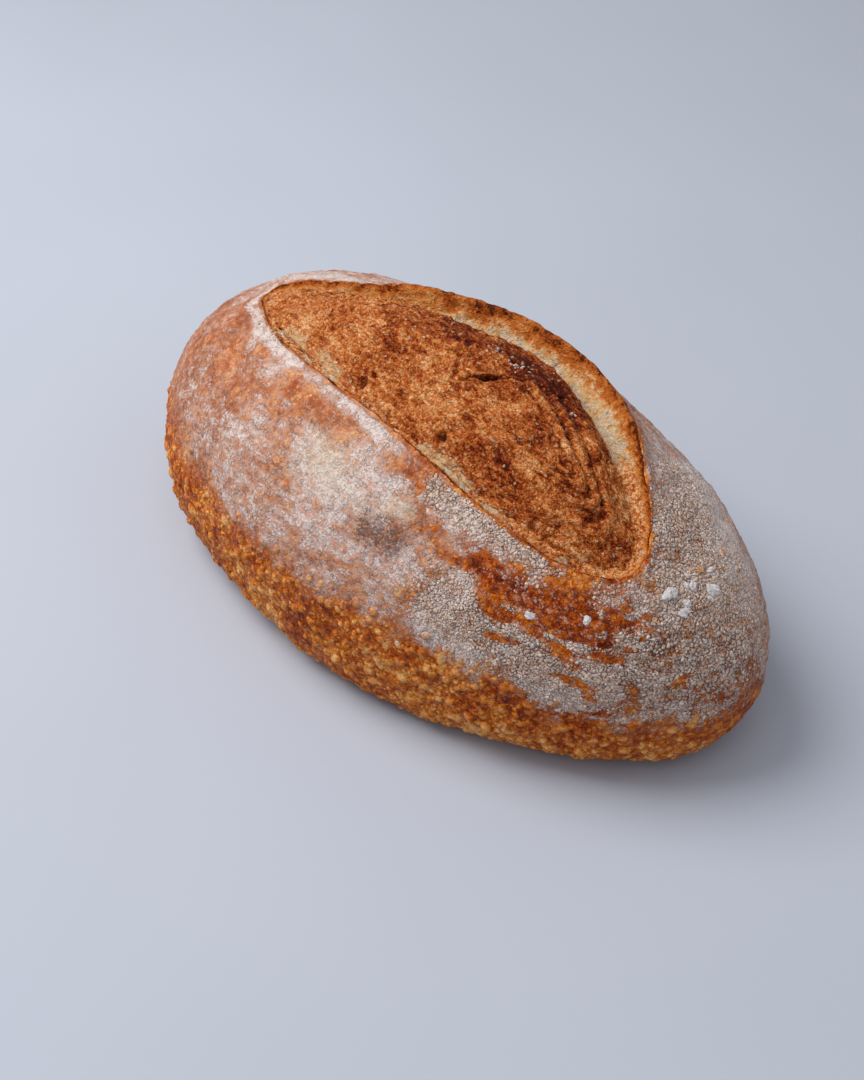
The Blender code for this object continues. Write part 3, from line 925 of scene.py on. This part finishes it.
def thinned(places, sizes):
    """Which of the spots to keep so that none lies much on another."""
    kept, grid = [], {}
    for i, (place, size) in enumerate(zip(places.tolist(), sizes.tolist())):
        key = tuple(int(v // (2 * MM)) for v in place)
        near = [
            j for dx in (-1, 0, 1) for dy in (-1, 0, 1) for dz in (-1, 0, 1)
            for j in grid.get((key[0] + dx, key[1] + dy, key[2] + dz), ())
        ]
        if all(math.dist(place, places[j]) > 0.75 * (size + sizes[j]) for j in near):
            grid.setdefault(key, []).append(i)
            kept.append(i)
    return np.array(kept)


def grain_spots(mesh, share, draw):
    """Places, ways out and sizes of grains, thinned so that none lies on another."""
    place, facing = coordinates(mesh), normals(mesh)
    chosen = draw.choice(len(place), GRAINS * 4, p=share / share.sum())
    first, second = side_ways(facing[chosen])
    slide = draw.uniform(-0.7 * MM, 0.7 * MM, (len(chosen), 2))
    spots = place[chosen] + first * slide[:, :1] + second * slide[:, 1:]
    sizes = (0.45 + 0.65 * draw.random(len(chosen)) ** 1.7) * MM
    kept = thinned(spots, sizes)[:GRAINS]
    return spots[kept], facing[chosen][kept], sizes[kept]


def remnant_spots(bloom, draw):
    tree = surface_of(bloom)
    spots, ways, sizes = [], [], []
    for x, y, z, spread, count in REMNANTS:
        for _ in range(count):
            aim = Vector((x + draw.normal() * spread * 0.5, y + draw.normal() * spread * 0.5, z)) * MM
            hit, normal = tree.find_nearest(aim)[:2]
            spots.append(hit)
            ways.append(normal)
            sizes.append((0.4 + 0.4 * draw.random()) * MM)
    return np.array(spots), np.array(ways), np.array(sizes)


def make_grains(crust, bloom):
    """Flour crusted into grains: one piece at the loaf's end, one along the flank with the bloom's few."""
    draw = np.random.default_rng(GRAIN_SEED)
    mesh = crust.data
    place = coordinates(mesh)
    coarse, flour = values_of(mesh, "coarse"), values_of(mesh, "flour")
    patchy = layered(place, (1.0, 7, 61), (0.6, 3, 62))
    chance = np.clip(coarse - 0.15, 0, 1) * np.clip((flour - 0.42 + 0.50 * patchy) * 2.6, 0, 1)
    at_end = smooth((place[:, 0] / MM - 84) / 8)
    groups = (
        ("end_grains", [grain_spots(mesh, chance * at_end, draw)]),
        ("flank_grains", [grain_spots(mesh, chance * (1 - at_end), draw), remnant_spots(bloom, draw)]),
    )
    made = []
    for seed, (name, parts) in enumerate(groups):
        spots, ways, sizes = (np.concatenate(column) for column in zip(*parts))
        wide = draw.uniform(0.60, 1.0, len(sizes))
        high = draw.uniform(0.30, 0.60, len(sizes))
        shapes = np.stack([sizes, sizes * wide, sizes * high], axis=1)
        made.append(copies(
            name, spots, ways, shapes, segments=7, rings=4, sunk=GRAIN_SUNK, seed=seed, roughness=0.42
        ))
    return made


# x, y, z of each lump of flour in mm, and its radius
FLOUR_LUMPS = (
    (121, -10, 79, 2.0), (122, -8, 79, 1.6), (124, 0, 78, 1.3), (128, 5, 75, 1.8), (129, 7, 75, 1.5),
    (128, -9, 74, 1.5), (127, -6, 76, 1.3), (121, 0, 81, 0.9), (124, 10, 79, 1.0), (91, -47, 73, 1.3),
    (107, -35, 74, 1.2), (108, -48, 39, 0.9), (51, -71, 47, 0.9), (130, 3, 74, 1.2), (123, -2, 79, 1.0),
    (92, -46, 73, 0.9), (128, -7, 74, 1.2),
)
FLAKES = (
    (-23, -8, 117, 2.6), (-51, -9, 109, 1.7), (-77, 2, 101, 1.4), (-26, -9, 116, 1.6),
)


def scatter(name, spots, surface, height, seed):
    """A few irregular lumps or flakes that sit on a surface, as one piece."""
    draw = random.Random(seed)
    bm = bmesh.new()
    for spot in spots:
        place, normal, _, _ = surface.find_nearest(Vector(spot[:3]) * MM)
        radius = spot[3] * MM
        made = bmesh.ops.create_icosphere(bm, subdivisions=4, radius=radius)["verts"]
        shift = Vector([draw.uniform(0, 50) for _ in range(3)])
        for vert in made:
            push = 1 + 0.65 * noise.noise(vert.co / (0.8 * radius) + shift)
            vert.co *= push + 0.30 * noise.noise(vert.co / (0.3 * radius) + shift)
        bmesh.ops.scale(bm, verts=made, vec=(1.2, draw.uniform(0.7, 1.0), height))
        turn = Matrix.Rotation(draw.uniform(0, math.tau), 3, "Z")
        bmesh.ops.rotate(bm, verts=made, cent=(0, 0, 0), matrix=turn)
        bmesh.ops.rotate(bm, verts=made, cent=(0, 0, 0), matrix=normal.to_track_quat("Z", "Y").to_matrix())
        bmesh.ops.translate(bm, verts=made, vec=place + normal * radius * height * 0.3)
    mesh = mesh_from(bm, name)
    mesh.shade_smooth()
    return new_object(name, mesh)


# Finishes


class Link:
    """A socket of a material, for use in plain expressions. Sums and products add Math nodes."""

    def __init__(self, nodes, socket):
        self.nodes, self.socket = nodes, socket

    def maths(self, operation, first, second):
        node = self.nodes.new("ShaderNodeMath")
        node.operation = operation
        feed(node.inputs[0], first)
        feed(node.inputs[1], second)
        return Link(self.nodes, node.outputs[0])

    def __add__(self, other):
        return self.maths("ADD", self, other)

    def __radd__(self, other):
        return self.maths("ADD", other, self)

    def __sub__(self, other):
        return self.maths("SUBTRACT", self, other)

    def __rsub__(self, other):
        return self.maths("SUBTRACT", other, self)

    def __mul__(self, other):
        return self.maths("MULTIPLY", self, other)

    def __rmul__(self, other):
        return self.maths("MULTIPLY", other, self)


def feed(socket, value):
    """Links a Link to the socket, or sets the socket to a plain value."""
    if isinstance(value, Link):
        socket.id_data.links.new(value.socket, socket)
    else:
        socket.default_value = value


class Finish:
    """A material, and the means to build it."""

    def __init__(self, name, gloss):
        self.material = bpy.data.materials.new(name)
        self.material.use_nodes = True
        self.nodes = self.material.node_tree.nodes
        self.shader = self.nodes["Principled BSDF"]
        self.shader.inputs["Specular IOR Level"].default_value = gloss

    def add(self, kind, settings=None, inputs=None, output=0):
        """Any node: its settings first, then the values or links of its sockets."""
        node = self.nodes.new(kind)
        for key, value in (settings or {}).items():
            if key == "stops":
                self.set_stops(node.color_ramp, value)
            else:
                setattr(node, key, value)
        for key, value in (inputs or {}).items():
            feed(node.inputs[key], value)
        return Link(self.nodes, node.outputs[output])

    @staticmethod
    def set_stops(ramp, stops):
        while len(ramp.elements) < len(stops):
            ramp.elements.new(0.5)
        for element, (position, colour) in zip(ramp.elements, stops):
            element.position = position
            element.color = (*colour, 1.0)

    def place(self):
        return self.add("ShaderNodeTexCoord", output="Object")

    def painted(self, name):
        return self.add("ShaderNodeAttribute", {"attribute_name": name}, output="Fac")

    def grit(self, vector, per_mm, detail=2.0, roughness=0.55):
        """Noise spread out to fill 0 to 1."""
        values = {"Vector": vector, "Scale": per_mm / MM, "Detail": detail, "Roughness": roughness}
        return self.step(self.add("ShaderNodeTexNoise", {}, values, "Fac"), 0.33, 0.67)

    def cells(self, vector, per_mm, feature="F1", output="Distance"):
        values = {"Vector": vector, "Scale": per_mm / MM}
        return self.add("ShaderNodeTexVoronoi", {"feature": feature}, values, output)

    def step(self, value, low, high):
        """0 at low, 1 at high, smooth between."""
        values = {"Value": value, "From Min": low, "From Max": high}
        return self.add("ShaderNodeMapRange", {"interpolation_type": "SMOOTHSTEP"}, values)

    def ramp(self, value, stops):
        return self.add("ShaderNodeValToRGB", {"stops": stops}, {"Fac": value})

    def mix(self, share, first, second):
        node = self.nodes.new("ShaderNodeMix")
        node.data_type, node.clamp_factor = "RGBA", True
        feed(node.inputs[0], share)
        feed(node.inputs[6], first if isinstance(first, Link) else (*first, 1.0))
        feed(node.inputs[7], second if isinstance(second, Link) else (*second, 1.0))
        return Link(self.nodes, node.outputs[2])

    def dots(self, vector, bend, per_mm, low, high):
        """Dots, one to a cell, with bent outlines. bend is the noise's scale per mm and its amount in mm."""
        return self.step(self.cells(self.warp(vector, bend[0], bend[1] * MM), per_mm), low, high)

    def grey(self, colour):
        return self.add("ShaderNodeSeparateColor", {}, {"Color": colour}, 0)

    def stretch(self, vector, scale):
        return self.add("ShaderNodeMapping", {}, {"Vector": vector, "Scale": scale})

    def warp(self, vector, per_mm, amount):
        """The vector moved about by noise, by up to about an amount in metres."""
        bend = self.add(
            "ShaderNodeTexNoise", {}, {"Vector": vector, "Scale": per_mm / MM, "Detail": 1.0}, "Color"
        )
        middle = self.add("ShaderNodeVectorMath", {"operation": "SUBTRACT"}, {0: bend, 1: (0.5, 0.5, 0.5)})
        scaled = self.add("ShaderNodeVectorMath", {"operation": "SCALE"}, {0: middle, "Scale": amount * 2})
        return self.add("ShaderNodeVectorMath", {"operation": "ADD"}, {0: vector, 1: scaled})

    def finish(self, colour, roughness, relief):
        """Connects the colour, the roughness and a relief in millimetres."""
        feed(self.shader.inputs["Base Color"], colour)
        feed(self.shader.inputs["Roughness"], roughness)
        bump = self.add("ShaderNodeBump", {}, {"Height": relief, "Distance": MM, "Strength": 1.0}, "Normal")
        feed(self.shader.inputs["Normal"], bump)
        return self.material


BARE_CRUST = (
    (0.00, (0.84, 0.46, 0.16)), (0.20, (0.72, 0.26, 0.042)), (0.42, (0.55, 0.130, 0.010)),
    (0.64, (0.36, 0.058, 0.003)), (0.84, (0.19, 0.020, 0.002)), (1.00, (0.08, 0.008, 0.002)),
)
THIN_VEIL = ((0.54, 0.27, 0.175), (0.36, 0.135, 0.070))
FLOUR_VEIL = ((0.60, 0.39, 0.32), (0.44, 0.22, 0.150))
FLOUR_WHITE = (0.73, 0.635, 0.60)
FLOUR_TAN = (0.74, 0.56, 0.44)
FLOUR_CREAM = (0.70, 0.59, 0.45)
CRACK_BROWN = (0.14, 0.036, 0.015)
SOOT = (0.110, 0.064, 0.054)
BLOOM_CRUST = (
    (0.00, (0.80, 0.50, 0.27)), (0.15, (0.70, 0.33, 0.125)), (0.32, (0.59, 0.195, 0.050)),
    (0.50, (0.44, 0.105, 0.018)), (0.68, (0.27, 0.045, 0.005)), (0.84, (0.13, 0.014, 0.002)),
    (1.00, (0.060, 0.006, 0.002)),
)
GOLDEN_BEAD = (0.82, 0.50, 0.26)
BARE_CRUMB = (0.74, 0.53, 0.32)
TOASTED_CRUMB = (0.52, 0.27, 0.10)
GOLDEN_CRUMB = ((0.60, 0.33, 0.13), (0.70, 0.45, 0.22))
GREYISH_CRUMB = ((0.48, 0.34, 0.21), (0.70, 0.55, 0.39))
# Painted shade in the crumb's pores
PORE_SHADE = (0.34, 0.20, 0.11)
# Painted shade for the bloom's deepest grooves and pits
CREVICE_SHADE = (0.045, 0.008, 0.004)
RIM_EDGE = (
    (0.00, (0.10, 0.020, 0.004)), (0.08, (0.25, 0.048, 0.007)), (0.22, (0.40, 0.090, 0.012)),
    (0.50, (0.54, 0.155, 0.028)), (0.80, (0.66, 0.27, 0.075)), (1.00, (0.75, 0.42, 0.170)),
)
GRAIN_TINTS = (
    (0.12, (0.46, 0.23, 0.12)), (0.35, (0.60, 0.39, 0.28)), (0.62, (0.72, 0.54, 0.44)),
    (0.9, (0.86, 0.74, 0.67)),
)
# Painted shade at the foot of each grain
GRAIN_FOOT_SHADE = (0.22, 0.072, 0.034)
LOOSE_FLOUR = ((0.62, 0.56, 0.55), (0.80, 0.75, 0.74))


def varied(value, *grits):
    """A value varied by noises that run from 0 to 1. Each is (noise, the whole span of its effect)."""
    for grit, span in grits:
        value = value + (grit - 0.5) * span
    return value


def crust_finish():
    m = Finish("floured_crust", 0.06)
    p = m.place()
    flour, bake, coarse, cream, smudge, low, haze = (
        m.painted(n) for n in ("flour", "bake", "coarse", "cream", "smudge", "low", "haze")
    )
    bumps, rim, crumb, top = (m.painted(n) for n in ("bumps", "rim", "crumb", "top"))
    bent = m.warp(p, 0.55, 0.8 * MM)
    gaps = m.cells(bent, 0.60, "DISTANCE_TO_EDGE")
    luck = m.grey(m.cells(bent, 0.60, "F1", "Color"))
    bubbles = m.dots(p, (0.3, 1.2), 0.45, 0.55, 0.12)
    fine = m.grit(p, 1.15, 2.0, 0.7)
    middle = m.grit(p, 0.40, 3.0, 0.6)
    wide = m.grit(p, 0.12, 3.0, 0.55)
    flat_wide = m.grit(p, 0.055, 2.0, 0.5)
    streak = m.grit(m.stretch(p, (0.22, 1.0, 1.0)), 0.45, 2.0, 0.6)

    # Bare baked skin
    small = varied((fine - 0.5) * 0.36, (luck, 0.14))
    tone = varied(bake, (wide, 0.20), (middle, 0.30)) + small * (1 - top * 0.6)
    tone = tone - (bubbles - 0.4) * (1 - top) * 0.24 - (bumps - 0.2) * 0.24 - top * 0.17
    bare = m.ramp(tone, BARE_CRUST)

    # Flour over it, from a thin film to white powder, then its cracks, cream and soot
    thick = varied(flour, (wide, 0.26), (middle, 0.34), (fine, 0.52), (luck, 0.36), (streak, 0.26))
    thick = thick - (1 - m.step(flour, 0.0, 0.22)) * 0.42
    floured = m.step(flour, 0.08, 0.36)
    toasted = m.step(tone, 0.18, 0.72)
    film = m.step(varied(flour, (fine, 0.50), (luck, 0.35)), 0.06, 0.52) * 0.85
    misted = m.mix(film + haze * (0.30 + fine * 0.35), bare, m.mix(toasted, *THIN_VEIL))
    veiled = m.mix(m.step(thick, 0.14, 0.56) * 0.84, misted, m.mix(toasted, *FLOUR_VEIL))
    powder = m.mix(coarse * (0.1 + luck * 0.8), FLOUR_WHITE, FLOUR_TAN)
    dusted = m.mix(m.step(thick + coarse * 0.36, 0.50, 1.02) * 0.92, veiled, powder)
    lines = m.step(varied(gaps, (fine, 0.06)), 0.11, 0.01) * floured * m.step(middle, 0.25, 0.65)
    crackled = m.mix(lines * (1 - coarse) * 0.45, dusted, CRACK_BROWN)
    scraps = m.step(varied(luck * 0.5 + fine * 0.5, (streak, 0.3)) - low * 0.16, 0.70, 0.86) * (1 - floured)
    crackled = m.mix(scraps * 0.60, crackled, FLOUR_VEIL[0])
    chasms = m.step(varied(gaps, (fine, 0.08)), 0.14, 0.03) * coarse * floured * m.step(middle, 0.05, 0.35)
    cracked = m.mix(chasms * (0.78 + flat_wide * 0.15), crackled, CRACK_BROWN)
    creamy = m.mix(cream * (0.25 + 0.55 * fine), cracked, FLOUR_CREAM)
    soot = m.step(varied(smudge * 0.9, (fine, 1.1), (middle, 0.5)), 0.30, 1.15)
    sooty = m.mix(soot * 0.80, creamy, SOOT)

    # The torn wall inside the rim: baked edge, browned crumb and pale crumb
    fibre = m.grit(bent, 0.75, 3.0, 0.65)
    golden_dots = m.dots(p, (0.6, 0.9), 0.40, 0.34, 0.16) * (0.2 + fibre * 0.6)
    torn_tone = varied(0.40, (wide, 0.35), (fibre, 0.50), (fine, 0.35))
    pores = m.dots(p, (0.3, 0.9), 0.36, 0.30, 0.10)
    along = varied(rim, (wide, 0.20), (middle, 0.22), (fine, 0.26))
    crumb_share = m.step(varied(crumb, (wide, 0.8), (middle, 0.5)), 0.35, 0.75)
    golden, greyish = m.mix(fine, *GOLDEN_CRUMB), m.mix(fine, *GREYISH_CRUMB)
    pale = m.mix(m.step(wide * 0.6 + middle * 0.4, 0.35, 0.60), golden, greyish)
    browned = m.mix(golden_dots, m.ramp(torn_tone, BLOOM_CRUST), GOLDEN_BEAD)
    # Painted shade: the sunken pores in the pale crumb are darkened.
    spread = m.mix(crumb_share, browned, m.mix(pores * 0.6, pale, PORE_SHADE))
    edge = m.ramp(varied(along, (wide, 0.32), (middle, 0.16)), RIM_EDGE)
    torn = m.mix(m.step(along, 0.60, 1.10), edge, spread)
    colour = m.mix(m.step(varied(rim, (middle, 0.08), (fine, 0.05)), -0.02, 0.02), sooty, torn)

    roughness = varied(0.42 + m.step(thick, 0.1, 0.5) * 0.45, (fine, 0.12))
    on_crust = m.step(rim, 0.02, -0.02)
    relief = coarse * floured * m.step(gaps, 0.0, 0.30) * 0.60 + fine * 0.16 + middle * 0.18
    relief = relief + (bubbles * 0.30 * (1 - coarse) * (1 - floured * 0.6) - lines * 0.12) * on_crust
    relief = relief - (pores * 0.4 - middle * 0.30 - fine * 0.14) * (1 - on_crust)
    return m.finish(colour, roughness, relief)


def bloom_finish():
    m = Finish("torn_bloom", 0.09)
    p = m.place()
    bake, beads, crevice, crumb = (m.painted(n) for n in ("bake", "beads", "crevice", "crumb"))
    long_way = m.stretch(p, (0.65, 1.0, 1.0))
    fibre = m.grit(m.warp(long_way, 0.35, 1.4 * MM), 0.75, 3.0, 0.65)
    fine = m.grit(p, 1.4, 2.0, 0.6)
    wide = m.grit(long_way, 0.16, 3.0, 0.55)
    dots = m.dots(p, (0.5, 0.6), 0.80, 0.46, 0.14)
    specks = m.dots(p, (0.6, 0.9), 0.36, 0.30, 0.16)

    tone = varied(bake, (fibre, 0.36), (fine, 0.28), (wide, 0.14))
    # The crevice layer darkens the tone as painted shade in grooves and pits.
    tone = tone - (dots - 0.3) * 0.20 - (beads - 0.3) * 0.14 + crevice * 0.30
    crusted = m.mix(specks * (0.10 + fibre * 0.6), m.ramp(tone, BLOOM_CRUST), GOLDEN_BEAD)
    soft_crumb = m.mix(fibre, TOASTED_CRUMB, BARE_CRUMB)
    share = m.step(varied(crumb, (wide, 0.9), (fibre, 0.9)), 0.55, 1.05) * m.step(crumb, 0.15, 0.40)
    colour = m.mix(share * 0.80, crusted, soft_crumb)
    # Painted shade: the deepest crevices go towards near-black brown.
    with_painted_shade = m.mix(m.step(crevice, 0.45, 1.0) * 0.75, colour, CREVICE_SHADE)

    roughness = varied(0.40, (fine, 0.25)) + share * 0.25
    relief = fibre * 0.42 + fine * 0.14 + dots * 0.26 + specks * 0.25
    return m.finish(with_painted_shade, roughness, relief)


def grain_finish():
    m = Finish("crusted_flour", 0.1)
    p = m.place()
    luck, crown = m.painted("luck"), m.painted("crown")
    fine = m.grit(p, 1.6, 2.0, 0.6)
    wide = m.grit(p, 0.12, 2.0, 0.5)
    tint = m.ramp(varied(luck * 0.6 + wide * 0.3, (fine, 0.35)) + 0.14, GRAIN_TINTS)
    # Painted shade: each grain darkens towards its foot, low on its dome.
    colour = m.mix(m.step(crown, 0.45, 0.20) * 0.50, tint, GRAIN_FOOT_SHADE)
    return m.finish(colour, varied(0.85, (fine, 0.2)), fine * 0.30)


def flour_finish():
    m = Finish("loose_flour", 0.2)
    dust = m.grit(m.place(), 2.0, 3.0, 0.6)
    return m.finish(m.mix(dust, *LOOSE_FLOUR), varied(0.85, (dust, 0.2)), dust * 0.12)


def flake_finish():
    m = Finish("baked_flakes", 0.35)
    fine = m.grit(m.place(), 1.3, 3.0, 0.6)
    return m.finish(m.ramp(0.10 + fine * 0.45, BLOOM_CRUST), varied(0.5, (fine, 0.3)), fine * 0.15)


def dress(obj, material):
    obj.data.materials.clear()
    obj.data.materials.append(material)
    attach(obj, "root")
    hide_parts("loaf")


# Camera, floor and light

FLOOR_COLOUR = (0.46, 0.49, 0.565)
FLOOR_HALF = 3.0
WORLD_COLOUR = (0.90, 0.94, 1.0)
WORLD_STRENGTH = 0.42


def direction(turn, rise):
    """The way from the loaf to something at a turn and a rise. Turn 0 is -Y and a quarter turn is +X."""
    return Vector((math.sin(turn) * math.cos(rise), -math.cos(turn) * math.cos(rise), math.sin(rise)))


def make_camera():
    back = direction(CAMERA_TURN, CAMERA_RISE)
    right = Vector((math.cos(CAMERA_TURN), math.sin(CAMERA_TURN), 0.0))
    focal = CAMERA_LENS / CAMERA_SENSOR * PHOTO_SIZE[1]
    off = (PHOTO_SIZE[0] / 2 - AIM_PIXEL[0]) / focal, (PHOTO_SIZE[1] / 2 - AIM_PIXEL[1]) / focal
    facing = right * off[0] - back.cross(right) * off[1] - back
    data = bpy.data.cameras.new("camera")
    data.lens, data.sensor_width = CAMERA_LENS, CAMERA_SENSOR
    data.clip_start, data.clip_end = 0.01, 20.0
    camera = bpy.data.objects.new("camera", data)
    camera.location = CAMERA_AIM + back * CAMERA_DISTANCE
    camera.rotation_euler = facing.to_track_quat("-Z", "Y").to_euler()
    bpy.context.scene.collection.objects.link(camera)
    bpy.context.scene.camera = camera


def make_light(name, turn, rise, distance, size, energy, colour):
    data = bpy.data.lights.new(name, "AREA")
    data.shape, data.size, data.energy, data.color = "DISK", size, energy, colour
    light = bpy.data.objects.new(name, data)
    way = direction(math.radians(turn), math.radians(rise))
    light.location = way * distance
    light.rotation_euler = way.to_track_quat("Z", "Y").to_euler()
    bpy.context.scene.collection.objects.link(light)


def make_stage():
    bm = bmesh.new()
    bmesh.ops.create_grid(bm, x_segments=2, y_segments=2, size=FLOOR_HALF)
    mesh = mesh_from(bm, "floor")
    floor = new_object("floor", mesh)
    m = Finish("pale_floor", 0.3)
    mottle = m.grit(m.place(), 0.004)
    colour = m.mix(mottle, FLOOR_COLOUR, tuple(c * 1.03 for c in FLOOR_COLOUR))
    mesh.materials.append(m.finish(colour, varied(0.8, (mottle, 0.1)), mottle * 0.05))
    world = bpy.data.worlds.new("soft_sky")
    world.use_nodes = True
    glow = world.node_tree.nodes["Background"].inputs
    glow["Color"].default_value = (*WORLD_COLOUR, 1.0)
    glow["Strength"].default_value = WORLD_STRENGTH
    bpy.context.scene.world = world
    make_light("window", -60, 58, 1.3, 0.9, 14.5, (1.0, 0.98, 0.95))
    make_light("sky", 35, 68, 1.4, 1.0, 2.4, (0.98, 0.98, 1.0))


make_camera()
make_stage()

crust, base_shift = make_crust()
bloom = make_bloom(base_shift)
crust_surface = surface_of(crust)
blisters = make_blisters(crust_surface)
end_grains, flank_grains = make_grains(crust, bloom)
flour_lumps = scatter("flour_lumps", FLOUR_LUMPS, crust_surface, height=0.38, seed=3)
flakes = scatter("crust_flakes", FLAKES, surface_of(bloom), height=0.35, seed=4)

skin = crust_finish()
dress(crust, skin)
dress(bloom, bloom_finish())
dress(blisters, skin)
crusted_flour = grain_finish()
dress(end_grains, crusted_flour)
dress(flank_grains, crusted_flour)
dress(flour_lumps, flour_finish())
dress(flakes, flake_finish())

view = bpy.context.scene.view_settings
view.view_transform, view.look, view.exposure, view.gamma = "Standard", "None", 0.0, 1.0
